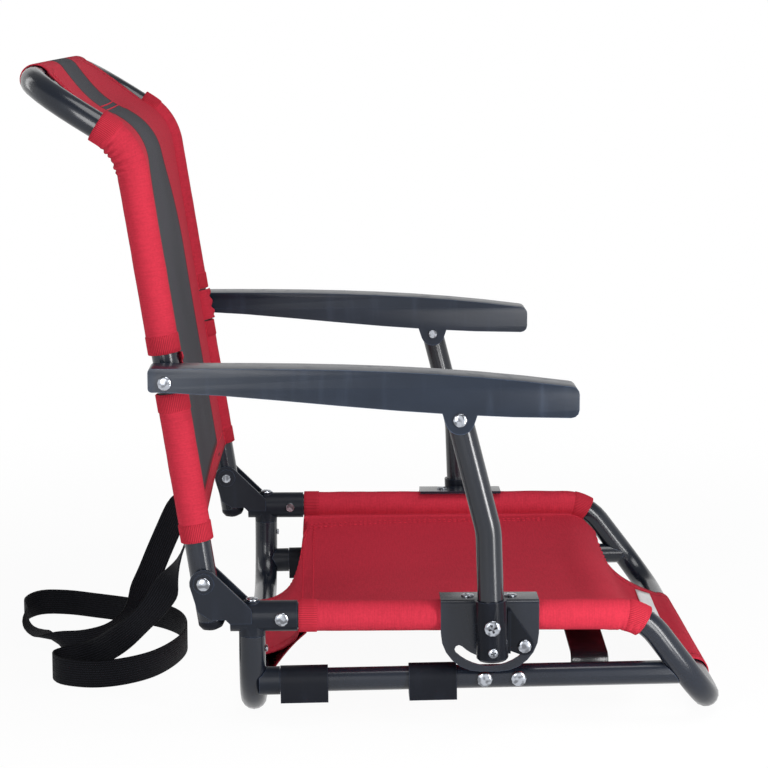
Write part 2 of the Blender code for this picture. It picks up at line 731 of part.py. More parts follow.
def leg_waste():
    """What lies behind the rear leg's middle, where the socket's blank runs on."""
    far = TUBE_DIAMETER * 2
    middle = bar_point(1, LEG_REACH)
    return middle - Vector((far, far, far)), middle + Vector((TUBE_RADIUS / 2, far, far))


def make_belt():
    """The webbing belt under the front of the seat, from one lower bar to the other."""
    bar = bar_point(1, BELT_REACH)
    inner = bar.y - BAR_DIAMETER / 2 - CLEARANCE - BELT_THICKNESS / 2
    seat_middle = RAIL_HEIGHT - SEAT_EDGE_DROP - SEAT_SAG - FABRIC_THICKNESS
    crown = seat_middle - CLEARANCE - BELT_THICKNESS
    shoulder = bar.z + BAR_DIAMETER / 2
    half = [(inner, bar.z - BAR_DIAMETER / 4), (inner, bar.z + BAR_DIAMETER / 4)]
    turn_at = (inner - BELT_TURN, shoulder - BELT_TURN / 2)
    half += arc(turn_at, BELT_TURN, math.radians(20), math.radians(80), 3)
    last_y, last_z = half[-1]
    for part in (0.25, 0.5, 0.75):
        half.append((last_y * (1 - part), last_z + (crown - last_z) * math.sin(math.pi / 2 * part)))
    route = [Vector((bar.x, y, z)) for y, z in half]
    route += [Vector((bar.x, 0, crown))] + [Vector((p.x, -p.y, p.z)) for p in route[::-1]]
    across_belt = [Vector((1, 0, 0))] * len(route)
    put("seat_belt", ribbon(route, across_belt, BELT_WIDTH, BELT_THICKNESS), WEBBING)


def ribbon(route, across_directions, width, thickness):
    """Flat webbing along a route, lofted through a rectangle at each point."""
    bm = bmesh.new()
    rings = []
    for i, (place, wide) in enumerate(zip(route, across_directions)):
        along = (route[min(i + 1, len(route) - 1)] - route[max(i - 1, 0)]).normalized()
        wide = (wide - along * wide.dot(along)).normalized()
        thin = along.cross(wide)
        wide, thin = wide * width / 2, thin * thickness / 2
        corners = [(-1, -1), (1, -1), (1, 1), (-1, 1)]
        rings.append([bm.verts.new(place + wide * a + thin * b) for a, b in corners])
    for ring, after in zip(rings, rings[1:]):
        for k in range(4):
            bm.faces.new((ring[k], ring[k - 1], after[k - 1], after[k]))
    bm.faces.new(rings[0])
    bm.faces.new(rings[-1][::-1])
    return mesh_from(bm)


# Arm plates, cranks and links


def slot_outline():
    rest, end = SLOT_REST_ANGLE, SLOT_REST_ANGLE - FOLD_ANGLE
    half = SLOT_WIDTH / 2
    ends = [(SLOT_RADIUS * math.cos(a), SLOT_RADIUS * math.sin(a)) for a in (rest, end)]
    return [
        *arc((0, 0), SLOT_RADIUS + half, end, rest, 12),
        *arc(ends[0], half, rest, rest + math.pi, 4)[1:],
        *arc((0, 0), SLOT_RADIUS - half, rest, end, 12)[1:],
        *arc(ends[1], half, end - math.pi, end, 4)[1:-1],
    ]


def plate_outline():
    """The arm plate's outer leaf as (x, z) from the link's pivot."""
    half = PLATE_WIDTH / 2
    low = -(SLOT_RADIUS + SLOT_WIDTH / 2 + PLATE_RIM)
    high = plate_bend_centre()
    corner = PLATE_CORNER_RADIUS
    return [
        (half, high),
        (-half, high),
        *arc((-half + corner, low + corner), corner, math.pi, 1.5 * math.pi, 6),
        *arc((half - corner, low + corner), corner, 1.5 * math.pi, math.tau, 6),
    ]


def plate_bend_centre():
    """How far the plate's bend line is from the rail's middle, both up and out."""
    return PLATE_FACE + PLATE_THICKNESS - PLATE_BEND_RADIUS


def bent_plate():
    """The left plate: cut from sheet with its slot and pivot hole, its top bent over the rail."""
    pivot_hole = circle((0, 0), PIVOT_SCREW[0] / 2 + CLEARANCE)
    leaf = flat_mesh([plate_outline(), slot_outline(), pivot_hole], PLATE_THICKNESS)
    moved(leaf, upright(LINK_PIVOT.x, HALF_SPACING + PLATE_FACE + PLATE_THICKNESS / 2, RAIL_HEIGHT))
    bm = bmesh.new()
    bm.from_mesh(leaf)
    top = max(vert.co.z for vert in bm.verts)
    edge = [face for face in bm.faces if all(vert.co.z > top - CLEARANCE for vert in face.verts)]
    centre = (LINK_PIVOT.x, HALF_SPACING + plate_bend_centre(), RAIL_HEIGHT + plate_bend_centre())
    bend = bmesh.ops.spin(bm, geom=edge, cent=centre, axis=(1, 0, 0), angle=math.pi / 2, steps=5)
    last = [item for item in bend["geom_last"] if isinstance(item, bmesh.types.BMFace)]
    run = bmesh.ops.extrude_face_region(bm, geom=last)["geom"]
    verts = [item for item in run if isinstance(item, bmesh.types.BMVert)]
    bmesh.ops.translate(bm, vec=(0, -plate_bend_centre() - PLATE_FACE, 0), verts=verts)
    inner = [face for face in edge + last if face.is_valid]
    bmesh.ops.delete(bm, geom=inner, context="FACES_ONLY")
    return mesh_from(bm)


def make_arm_plates():
    left = put("arm_plate_left", bent_plate(), STEEL_PAINT)
    top_z = RAIL_HEIGHT + PLATE_FACE + PLATE_THICKNESS
    half_spacing = PLATE_SCREW_SPACING / 2
    screws = {"rear": LINK_PIVOT.x - half_spacing, "front": LINK_PIVOT.x + half_spacing}
    for x in screws.values():
        cut(left, hole((x, HALF_SPACING, top_z), (0, 0, 1), PLATE_SCREW[0], 4 * PLATE_THICKNESS))
    mirrored(left, "arm_plate_right", STEEL_PAINT)
    for side, sign in SIDES.items():
        for end, x in screws.items():
            seat = (x, sign * HALF_SPACING, top_z + CLEARANCE)
            fastener(f"plate_screw_{side}_{end}", seat, (0, 0, 1), PLATE_SCREW, PLATE_THICKNESS)


def follower():
    return SLOT_RADIUS * math.cos(SLOT_REST_ANGLE), SLOT_RADIUS * math.sin(SLOT_REST_ANGLE)


def crank_outline():
    """The crank's leaf as (x, z) from the link's pivot: round there, a wing out to the slot's follower."""
    return convex_outline(
        circle((0, 0), BOOT_RADIUS * 0.7, 12)
        + circle(follower(), FOLLOWER_DIAMETER * 1.35, 12)
        + [(CRANK_FLANGE_REACH, z) for z in crank_flange_span()]
    )


def crank_flange_span():
    return SLOT_RADIUS * 0.26, -SLOT_RADIUS * 0.72


def link_direction():
    return (LINK_BEND - LINK_PIVOT).normalized()


def make_links(pivots):
    axis_y = HALF_SPACING + LINK_OFFSET
    low = LINK_PIVOT - link_direction() * (BOOT_BELOW - BOOT_FLOOR - CLEARANCE)
    top = ARM_PIN + (ARM_PIN - LINK_BEND).normalized() * LINK_TOP
    path = bent_path([(p.x, axis_y, p.z) for p in (low, LINK_BEND, top)], [LINK_BEND_RADIUS], 5)
    pivot_at = Vector((LINK_PIVOT.x, axis_y, LINK_PIVOT.z))
    screw_at = pivot_at - link_direction() * BOOT_SCREW_DROP + Vector((0, BOOT_RADIUS, 0))

    tube = put("link_tube_left", tube_mesh(path, LINK_DIAMETER, 14), STEEL_PAINT, pivots["left"])
    pin_hole = ARM_PIN_DIAMETER / 2 + RUNNING_CLEARANCE
    cut(tube, cylinder((ARM_PIN.x, axis_y, ARM_PIN.z), (0, 1, 0), pin_hole, 2 * LINK_DIAMETER))
    boot_bore = LINK_DIAMETER / 2 + CLEARANCE
    profile = [
        (0, BOOT_FLOOR - BOOT_BELOW),
        (boot_bore, BOOT_FLOOR - BOOT_BELOW),
        (boot_bore, BOOT_ABOVE),
        (BOOT_RADIUS, BOOT_ABOVE),
        (BOOT_RADIUS, BOOT_WALL - BOOT_BELOW),
        (BOOT_RADIUS - BOOT_WALL, -BOOT_BELOW),
        (0, -BOOT_BELOW),
    ]
    boot = turned("link_boot_left", profile, pivot_at, link_direction(), MOULDED, pivots["left"])
    for piece in (tube, boot):
        cut(piece, hole(pivot_at, (0, 1, 0), PIVOT_SCREW[0], 4 * BOOT_RADIUS))
        cut(piece, hole(screw_at, (0, 1, 0), BOOT_SCREW[0], 2 * (BOOT_WALL * 3 + CLEARANCE)))

    crank_y = HALF_SPACING + CRANK_FACE + CRANK_THICKNESS / 2
    pivot_hole = circle((0, 0), PIVOT_SCREW[0] / 2 + CLEARANCE)
    rivet_hole = circle(follower(), FOLLOWER_DIAMETER / 2 + CLEARANCE)
    leaf = flat_mesh([crank_outline(), pivot_hole, rivet_hole], CRANK_THICKNESS)
    moved(leaf, upright(LINK_PIVOT.x, crank_y, RAIL_HEIGHT))
    crank = put("link_crank_left", leaf, STEEL_PAINT, pivots["left"])
    flange_top, flange_base = crank_flange_span()
    crank_outer = HALF_SPACING + CRANK_FACE + CRANK_THICKNESS
    flange_x = LINK_PIVOT.x + CRANK_FLANGE_REACH
    join(
        crank,
        block(
            (flange_x - CRANK_THICKNESS * 0.8, crank_outer - CRANK_THICKNESS / 2, LINK_PIVOT.z + flange_base),
            (flange_x, crank_outer + CRANK_FLANGE_DEPTH, LINK_PIVOT.z + flange_top),
        ),
    )
    for piece, finish in ((tube, STEEL_PAINT), (boot, MOULDED), (crank, STEEL_PAINT)):
        mirrored(piece, piece.name.replace("left", "right"), finish, pivots["right"])

    follower_x, follower_z = follower()
    crank_seat = CRANK_FACE + CRANK_THICKNESS + CLEARANCE
    for side, sign in SIDES.items():
        outward = (0, sign, 0)
        pivot_seat = side_point(sign, LINK_PIVOT.x, LINK_OFFSET + BOOT_RADIUS + CLEARANCE, RAIL_HEIGHT)
        pivot_grip = LINK_OFFSET + BOOT_RADIUS + CLEARANCE - PLATE_FACE
        screw = fastener(f"pivot_screw_{side}", pivot_seat, outward, PIVOT_SCREW, pivot_grip, pivots[side])
        cross_recess(screw, pivot_seat, outward, PIVOT_SCREW)
        low_seat = Vector((screw_at.x, sign * (screw_at.y + CLEARANCE), screw_at.z))
        screw = fastener(f"boot_screw_{side}", low_seat, outward, BOOT_SCREW, BOOT_WALL * 3, pivots[side])
        cross_recess(screw, low_seat, outward, BOOT_SCREW)
        rivet_seat = side_point(sign, LINK_PIVOT.x + follower_x, crank_seat, RAIL_HEIGHT + follower_z)
        grip = crank_seat - PLATE_FACE + CLEARANCE
        sizes = (FOLLOWER_DIAMETER, SMALL_RIVET[1], SMALL_RIVET[2])
        tail = SMALL_RIVET[2] / 2
        fastener(f"crank_rivet_{side}", rivet_seat, outward, sizes, grip, pivots[side], tail)


ARM_PIN_DIAMETER = SMALL_RIVET[0]


# Armrests


def arm_top(x):
    return ARM_TOP_REAR - ARM_TOP_DROP * max(x / ARM_AHEAD, 0) ** ARM_TOP_POWER


def arm_bottom(x):
    part = max(x / ARM_AHEAD, 0)
    return -ARM_BOTTOM_REAR - ARM_BOTTOM_DROP * math.sin(math.pi / 2 * part) ** ARM_BOTTOM_POWER


def arm_run(start, end, steps):
    return [start + (end - start) * i / steps for i in range(steps + 1)]


def arm_outline():
    """An armrest's side as (x, z) from its rear pivot, tapered, with a round nose."""
    nose = ARM_NOSE_RADIUS
    nose_x = ARM_AHEAD - nose
    rear = ARM_REAR_RADIUS
    top_nose, low_nose = arm_top(nose_x), arm_bottom(nose_x)
    return [
        *arc((rear - ARM_BEHIND, ARM_TOP_REAR - rear), rear, math.pi, math.pi / 2, 4),
        *[(x, arm_top(x)) for x in arm_run(0, nose_x, 9)],
        *arc((nose_x, top_nose - nose), nose, math.radians(65), 0, 3),
        *arc((nose_x, low_nose + nose), nose, 0, -math.pi / 2, 3),
        *[(x, arm_bottom(x)) for x in arm_run(nose_x, 0, 7)[1:]],
        *arc((rear - ARM_BEHIND, rear - ARM_BOTTOM_REAR), rear, -math.pi / 2, -math.pi, 3),
    ]


def arm_cavity_outline():
    """The hollow under an armrest, open below."""
    start, end = ARM_SOLID_REAR, ARM_AHEAD - ARM_NOSE_RADIUS
    floor = arm_bottom(ARM_AHEAD) - 4 * EAR_RADIUS
    roof = [(x, arm_top(x) - ARM_WALL * 1.5) for x in arm_run(start, end, 8)]
    return [*roof, (end, floor), (start, floor)]


def ear_outline():
    """The lug below an armrest that takes the link's pin, as (x, z) from the pin."""
    roof = arm_bottom(ARM_PIN.x - ARM_PIVOT.x) - (ARM_PIN.z - ARM_PIVOT.z) + ARM_WALL
    shoulder = EAR_RADIUS * 1.25
    tip = arc((0, 0), EAR_RADIUS, math.radians(200), math.radians(340), 8)
    return [*tip, (shoulder, roof), (-shoulder, roof)]


def bevel_top_edges(mesh, width):
    """Marks an armrest's long upper edges, so that a Bevel rounds them and leaves the open bottom square."""
    weights = mesh.attributes.new("bevel_weight_edge", "FLOAT", "EDGE")
    half = width / 2
    for edge in mesh.edges:
        a, b = (mesh.vertices[i].co for i in edge.vertices)
        on_one_face = abs(a.z - b.z) < half and a.z * b.z > 0
        middle = (a + b) / 2
        above = middle.y > (arm_top(middle.x) + arm_bottom(middle.x)) / 2
        weights.data[edge.index].value = float(on_one_face and above)


def make_armrests(pivots):
    middle_y = HALF_SPACING + LINK_OFFSET
    width = 2 * ARM_HALF_WIDTH
    body = flat_mesh([arm_outline()], width)
    bevel_top_edges(body, width)
    moved(body, upright(ARM_PIVOT.x, middle_y, ARM_PIVOT.z))
    left = put("armrest_left", body, ARM_PLASTIC, pivots["left"])
    rounding = left.modifiers.new("Rounding", "BEVEL")
    rounding.limit_method = "WEIGHT"
    rounding.width = ARM_EDGE_RADIUS
    rounding.segments = 2
    ear = flat_mesh([ear_outline()], width)
    join(left, moved(ear, upright(ARM_PIN.x, middle_y, ARM_PIN.z)))
    cavity = flat_mesh([arm_cavity_outline()], width - 2 * ARM_WALL)
    cut(left, moved(cavity, upright(ARM_PIVOT.x, middle_y, ARM_PIVOT.z)))
    cut(left, hole((ARM_PIN.x, middle_y, ARM_PIN.z), (0, 1, 0), ARM_PIN_DIAMETER, 2 * width))
    pivot_hole = SMALL_RIVET[0] / 2 + RUNNING_CLEARANCE
    cut(left, cylinder((ARM_PIVOT.x, middle_y, ARM_PIVOT.z), (0, 1, 0), pivot_hole, 2 * width))
    mirrored(left, "armrest_right", ARM_PLASTIC, pivots["right"])


def make_arm_fasteners(back_pivot, pivots):
    arm_outer = LINK_OFFSET + ARM_HALF_WIDTH
    spacer_gap = ARM_FACE - TUBE_RADIUS
    bore = SMALL_RIVET[0] / 2 + CLEARANCE
    half = spacer_gap / 2 - CLEARANCE
    ring = [(bore, half), (SMALL_RIVET[1] * 0.7, half), (SMALL_RIVET[1] * 0.7, -half), (bore, -half)]
    for side, sign in SIDES.items():
        outward = (0, sign, 0)
        seat = side_point(sign, ARM_PIVOT.x, arm_outer + RUNNING_CLEARANCE, ARM_PIVOT.z)
        grip = arm_outer + TUBE_RADIUS + RUNNING_CLEARANCE + CLEARANCE
        fastener(f"arm_rivet_{side}", seat, outward, SMALL_RIVET, grip, back_pivot, tail=SMALL_RIVET[2])
        spacer = side_point(sign, ARM_PIVOT.x, TUBE_RADIUS + spacer_gap / 2, ARM_PIVOT.z)
        turned(f"arm_spacer_{side}", ring, spacer, outward, NYLON, back_pivot, 12)
        pin = side_point(sign, ARM_PIN.x, arm_outer + CLEARANCE, ARM_PIN.z)
        grip = 2 * (ARM_HALF_WIDTH + CLEARANCE)
        fastener(f"arm_pin_{side}", pin, outward, SMALL_RIVET, grip, pivots[side], tail=SMALL_RIVET[2])


# Slung cloth


class Row:
    """One line of cloth across the seat: its middle and edge as (x, z), its half width, and its sleeve's
    place, normal and start angle."""

    def __init__(self, middle, edge, half, sleeve=None):
        self.middle, self.edge, self.half, self.sleeve = Vector(middle), Vector(edge), half, sleeve


WRAP_STEP = math.radians(30)
SLEEVE_TURNS = 11
BEND_PARTS = [step / 5 for step in range(1, 6)]
SEAT_SLEEVE_BENDS = 3
PANEL_COLUMNS = 8


def round_bar(bar, start, turns, half, way):
    """Rows of cloth wrapped round a cross tube, from an angle in steps of WRAP_STEP."""
    rows = []
    for i in range(turns + 1):
        turn = math.radians(start) + way * i * WRAP_STEP
        place = Vector(bar) + SLEEVE_RADIUS * Vector((math.cos(turn), math.sin(turn)))
        rows.append(Row(place, place, half))
    return rows


def flap(bar_row, seat_row, steps, sag=0.0, edge_sag=0.0):
    """Rows from a cross tube to the sleeved panel, with the edges cut in a hollow curve. A slack flap hangs
    lower in its middle than at its edges."""
    rows = []
    for i in range(1, steps):
        part = i / steps
        half = bar_row.half + (seat_row.half - bar_row.half) * part**2
        down = Vector((0, -math.sin(math.pi * part)))
        middle = bar_row.middle.lerp(seat_row.middle, part) + down * sag
        edge = bar_row.edge.lerp(seat_row.edge, part) + down * edge_sag
        rows.append(Row(middle, edge, half))
    return rows


def hung_flap(bar_row, seat_row, steps):
    """Rows of a slack flap whose edges hang from the panel and run in a hollow curve to the cross tube."""
    rows = []
    for i in range(1, steps):
        part = i / steps
        half = bar_row.half + (seat_row.half - bar_row.half) * part**2
        gap = seat_row.edge - bar_row.edge
        edge = bar_row.edge + Vector((gap.x * (1 - (1 - part) ** 3), gap.y * part**1.5))
        rows.append(Row(bar_row.middle.lerp(seat_row.middle, part), edge, half))
    return rows


def sleeved_row(place, normal, start, drop):
    """A row between sleeves round tubes at this place. It leaves them at an angle from the normal, and its
    middle is this much lower."""
    place, normal = Vector(place), Vector(normal)
    joint = place + normal * SLEEVE_RADIUS * math.cos(start)
    half = HALF_SPACING + SLEEVE_RADIUS * math.sin(start)
    return Row(joint - normal * drop, joint, half, (place, normal, start))


def cloth_mesh(rows):
    bm = bmesh.new()
    panel, sleeves = [], []
    for row in rows:
        line = []
        for j in range(PANEL_COLUMNS + 1):
            part = 2 * j / PANEL_COLUMNS - 1
            x, z = row.edge.lerp(row.middle, 1 - part**2)
            line.append(bm.verts.new((x, part * row.half, z)))
        panel.append(line)
        signs = SIDES.values() if row.sleeve else ()
        sleeves.append({sign: sleeve_line(bm, row, sign, line) for sign in signs})
    for i in range(len(rows) - 1):
        fill_between(bm, panel[i], panel[i + 1])
        if sleeves[i] and sleeves[i + 1]:
            for sign in SIDES.values():
                fill_between(bm, sleeves[i][sign], sleeves[i + 1][sign])
    return mesh_from(bm, 60)


def sleeve_line(bm, row, sign, line):
    """The vertices of a sleeve, which starts at the panel's edge and goes round the tube."""
    place, normal, start = row.sleeve
    verts = [line[-1] if sign > 0 else line[0]]
    for i in range(1, SLEEVE_TURNS + 1):
        turn = start + i * WRAP_STEP
        x, z = place + normal * SLEEVE_RADIUS * math.cos(turn)
        verts.append(bm.verts.new((x, sign * (HALF_SPACING + SLEEVE_RADIUS * math.sin(turn)), z)))
    return verts


def fill_between(bm, one, other):
    for j in range(len(one) - 1):
        bm.faces.new((one[j], one[j + 1], other[j + 1], other[j]))


def cloth(name, rows, pivot=None):
    obj = put(name, cloth_mesh(rows), RED_CLOTH, pivot)
    thick = obj.modifiers.new("Thickness", "SOLIDIFY")
    thick.thickness = FABRIC_THICKNESS
    thick.offset = 0
    thick.use_even_offset = True
    return obj


def make_seat_cloth():
    knee = Vector((HINGE_X + KNEE_REACH, RAIL_HEIGHT))
    front = Vector((HINGE_X + FRONT_REACH, FLOOR_BAR_HEIGHT))
    slope = math.atan2(knee.y - front.y, front.x - knee.x)
    tangent = KNEE_RADIUS * math.tan(slope / 2)
    up = Vector((0, 1))
    straight_end = knee.x - tangent
    rear_x = HINGE_X + SLEEVE_REAR_REACH
    edge_drop = SEAT_EDGE_DROP + SLEEVE_RADIUS * math.cos(SEAT_SLEEVE_START)
    seat = []
    for i, sag in enumerate((0.2, 0.8, 1.0, 1.0, 0.8, 0.4)):
        place = (rear_x + (straight_end - rear_x) * i / 5, RAIL_HEIGHT)
        dip = REAR_DIP * (1 - i / 5) ** 4
        seat.append(sleeved_row(place, up, SEAT_SLEEVE_START, edge_drop + SEAT_SAG * sag + dip))
    bend_centre = Vector((straight_end, RAIL_HEIGHT - KNEE_RADIUS))
    for part in BEND_PARTS[:SEAT_SLEEVE_BENDS]:
        out = Vector((math.sin(slope * part), math.cos(slope * part)))
        seat.append(sleeved_row(bend_centre + out * KNEE_RADIUS, out, SEAT_SLEEVE_START, edge_drop))
    rear_bar = round_bar((HINGE_X + LEG_REACH, FLOOR_BAR_HEIGHT), 105, 9, REAR_FLAP_HALF, 1)[::-1]
    front_bar = round_bar(front, 100, 10, FRONT_FLAP_HALF, -1)
    rows = [
        *rear_bar,
        *hung_flap(rear_bar[-1], seat[0], 6),
        *seat,
        *flap(front_bar[0], seat[-1], 5, FRONT_FLAP_SAG, FRONT_FLAP_EDGE_SAG)[::-1],
        *front_bar,
    ]
    cloth("seat_cloth", rows)


def make_back_cloth(back_pivot):
    """The back panel: two stretches of sleeve on each tube, a notch at the arms, a flap over the head bar."""
    along = Vector((BACK_DIRECTION.x, BACK_DIRECTION.z))
    out = Vector((along.y, -along.x))
    base = Vector((HINGE_X, HINGE_HEIGHT))
    turn = HEAD_LEAN - BACK_LEAN
    tangent = KINK_RADIUS * math.tan(turn / 2)
    kink = base + along * BACK_TO_KINK

    def row(length, sag, sleeved=True):
        made = sleeved_row(base + along * length, out, BACK_SLEEVE_START, BACK_SAG * sag)
        if not sleeved:
            made.sleeve, made.half = None, made.half - ARM_NOTCH
        return made

    gap = HIGH_SLEEVE_BASE - LOW_SLEEVE_TOP
    high_end = BACK_TO_KINK - tangent
    rows = [row(BACK_HEM + (LOW_SLEEVE_TOP - BACK_HEM) * i / 2, 0.7 + 0.15 * i) for i in range(3)]
    rows += [row(LOW_SLEEVE_TOP + gap * part, 1, False) for part in (0.3, 0.7)]
    rows += [row(HIGH_SLEEVE_BASE + (high_end - HIGH_SLEEVE_BASE) * i / 3, 1) for i in range(4)]
    bend_centre = kink - along * tangent - out * KINK_RADIUS
    for part in BEND_PARTS:
        angle = turn * part
        lifted = out * math.cos(angle) + along * math.sin(angle)
        rows.append(sleeved_row(bend_centre + lifted * KINK_RADIUS, lifted, BACK_SLEEVE_START, KINK_SAG))
    head = Vector((HEAD_DIRECTION.x, HEAD_DIRECTION.z))
    head_out = Vector((head.y, -head.x))
    past = kink + head * (tangent + (SLEEVE_PAST_KINK - tangent))
    rows.append(sleeved_row(past, head_out, BACK_SLEEVE_START, KINK_SAG))
    head_bar = round_bar(kink + head * HEAD_LENGTH, 40, 9, HEAD_FLAP_HALF, 1)
    rows += flap(head_bar[0], rows[-1], 4, HEAD_FLAP_SAG)[::-1] + head_bar
    cloth("back_cloth", rows, back_pivot)


# Carry strap


def strap_route():
    """The strap's own points, from its seam on the back panel's right to the one on its left, from the
    hinge's place on the floor: down behind the seat, round two loose loops on the floor, and up again."""
    return [
        *strap_seam(-1),
        (-0.0190, -0.128, 0.140), (-0.031, -0.122, 0.108), (-0.050, -0.110, 0.074),
        (-0.076, -0.092, 0.045), (-0.102, -0.072, 0.023), (-0.126, -0.062, 0.0128),
        (-0.144, -0.078, 0.0128), (-0.136, -0.102, 0.0128), (-0.108, -0.114, 0.0128),
        (-0.080, -0.106, 0.0128), (-0.054, -0.080, 0.0128), (-0.036, -0.036, 0.0128),
        (-0.030, 0.010, 0.0128), (-0.038, 0.058, 0.0128), (-0.060, 0.092, 0.0128),
        (-0.092, 0.114, 0.0128), (-0.126, 0.132, 0.0128), (-0.156, 0.146, 0.0128),
        (-0.182, 0.146, 0.0128), (-0.194, 0.120, 0.0128), (-0.188, 0.080, 0.0128),
        (-0.174, 0.040, 0.0128), (-0.156, 0.006, 0.0128), (-0.132, -0.010, 0.0128),
        (-0.110, 0.006, 0.0128), (-0.098, 0.036, 0.0130), (-0.088, 0.066, 0.021),
        (-0.074, 0.088, 0.046), (-0.060, 0.106, 0.078), (-0.046, 0.120, 0.108), (-0.0300, 0.128, 0.138),
        *reversed(strap_seam(1)),
    ]


def strap_seam(sign):
    """The strap's sewn end behind the back panel, from its top to the panel's hem."""
    share = 1 - (STRAP_SEAM_SIDE / HALF_SPACING) ** 2
    panel = SLEEVE_RADIUS * math.cos(BACK_SLEEVE_START) - BACK_SAG * share
    behind = panel - FABRIC_THICKNESS / 2 - STRAP_THICKNESS / 2 - CLEARANCE
    out = Vector((math.cos(BACK_LEAN), 0, math.sin(BACK_LEAN)))
    seam = []
    for length in (STRAP_SEAM_TOP, BACK_HEM):
        place = HINGE + BACK_DIRECTION * length + out * behind
        seam.append((place.x - HINGE_X, sign * STRAP_SEAM_SIDE, place.z))
    return seam


def smooth_route(points, spacing):
    """Points read at about this spacing from a smooth curve through a route's own points."""
    points = [Vector(p) for p in points]
    ends = [2 * points[0] - points[1], *points, 2 * points[-1] - points[-2]]
    fine = []
    for a, b, c, d in zip(ends, ends[1:], ends[2:], ends[3:]):
        steps = max(1, round((c - b).length / spacing))
        for i in range(steps):
            t = i / steps
            bend, twist = 2 * a - 5 * b + 4 * c - d, 3 * b - a - 3 * c + d
            fine.append(0.5 * (2 * b + (c - a) * t + bend * t**2 + twist * t**3))
    return fine + [points[-1]]


STRAP_STANDS_BELOW = 0.030
STRAP_HANGS_ABOVE = 0.150


def strap_across(place, way):
    """The strap's width stands upright on the floor and turns to lie along the back panel where it is sewn.
    Its upper edge goes one way at the first seam and the other way at the last, so that it never winds up."""
    part = (place.z - STRAP_STANDS_BELOW) / (STRAP_HANGS_ABOVE - STRAP_STANDS_BELOW)
    part = min(max(part, 0), 1)
    part = part * part * (3 - 2 * part)
    return Vector((0, 0, 1)).lerp(Vector((0, way, 0)), part)


def make_strap():
    floor_height = STRAP_WIDTH / 2 + CLEARANCE
    route = smooth_route(strap_route(), STRAP_SPACING)
    route = [Vector((p.x + HINGE_X, p.y, max(p.z, floor_height))) for p in route]
    half = len(route) // 2
    widths = [strap_across(p, 1 if i < half else -1) for i, p in enumerate(route)]
    put("carry_strap", ribbon(route, widths, STRAP_WIDTH, STRAP_THICKNESS), WEBBING)


def main():
    back_pivot = pivot_empty("back_hinge", HINGE)
    arm_pivots, link_pivots = {}, {}
    for side, sign in SIDES.items():
        arm_pivots[side] = pivot_empty(f"arm_pivot_{side}", side_point(sign, *side_of(ARM_PIVOT)))
        link_pivots[side] = pivot_empty(f"link_pivot_{side}", side_point(sign, *side_of(LINK_PIVOT)))
    make_frames(back_pivot)
    make_plugs(back_pivot)
    make_hinge_brackets()
    make_bracket_fasteners()
    make_lower_bars()
    make_belt()
    make_arm_plates()
    make_links(link_pivots)
    make_armrests(arm_pivots)
    make_arm_fasteners(back_pivot, arm_pivots)
    make_seat_cloth()
    make_back_cloth(back_pivot)
    make_strap()


main()
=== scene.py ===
"""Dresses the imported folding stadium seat: slung cloth with ribbed binding and stitches, webbing,
finishes for the hard pieces, and a white studio.

Metres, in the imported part's frame: +X towards the front of the seat, -Y the sitter's right, +Z up.
"""

import json
from math import atan2, cos, pi, radians, sin, tan, tau

import bmesh
import bpy
from bpy.props import FloatProperty, FloatVectorProperty, PointerProperty
from bpy.types import Operator, Panel, PropertyGroup
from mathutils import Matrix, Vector, noise


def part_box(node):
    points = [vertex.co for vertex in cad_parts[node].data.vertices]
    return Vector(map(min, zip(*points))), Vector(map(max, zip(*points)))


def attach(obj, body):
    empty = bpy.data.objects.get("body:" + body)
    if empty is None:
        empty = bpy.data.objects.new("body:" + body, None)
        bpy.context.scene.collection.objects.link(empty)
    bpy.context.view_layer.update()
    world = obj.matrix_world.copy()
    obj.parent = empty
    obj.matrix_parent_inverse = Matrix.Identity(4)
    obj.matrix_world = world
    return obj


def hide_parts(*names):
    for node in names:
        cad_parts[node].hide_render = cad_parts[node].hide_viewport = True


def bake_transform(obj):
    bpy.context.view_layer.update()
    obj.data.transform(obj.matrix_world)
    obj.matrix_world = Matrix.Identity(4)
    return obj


bl_info = {
    "name": "Stadium Seat Looks",
    "version": (1, 0, 0),
    "blender": (4, 5, 0),
    "location": "3D View > Sidebar > Stadium Seat",
    "description": "Cloth, webbing, finishes and studio for a folding stadium seat",
    "category": "Object",
}

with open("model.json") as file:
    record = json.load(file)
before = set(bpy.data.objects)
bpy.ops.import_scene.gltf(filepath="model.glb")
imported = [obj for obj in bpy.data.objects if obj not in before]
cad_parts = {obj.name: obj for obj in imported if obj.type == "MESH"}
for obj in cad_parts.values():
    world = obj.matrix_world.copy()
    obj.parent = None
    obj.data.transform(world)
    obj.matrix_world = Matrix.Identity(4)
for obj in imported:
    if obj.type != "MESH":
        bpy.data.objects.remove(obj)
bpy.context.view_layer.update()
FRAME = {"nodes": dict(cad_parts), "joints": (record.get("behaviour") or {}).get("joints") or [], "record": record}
JOINTS = {joint["name"]: joint for joint in FRAME["joints"]}
SIDES = (-1, 1)

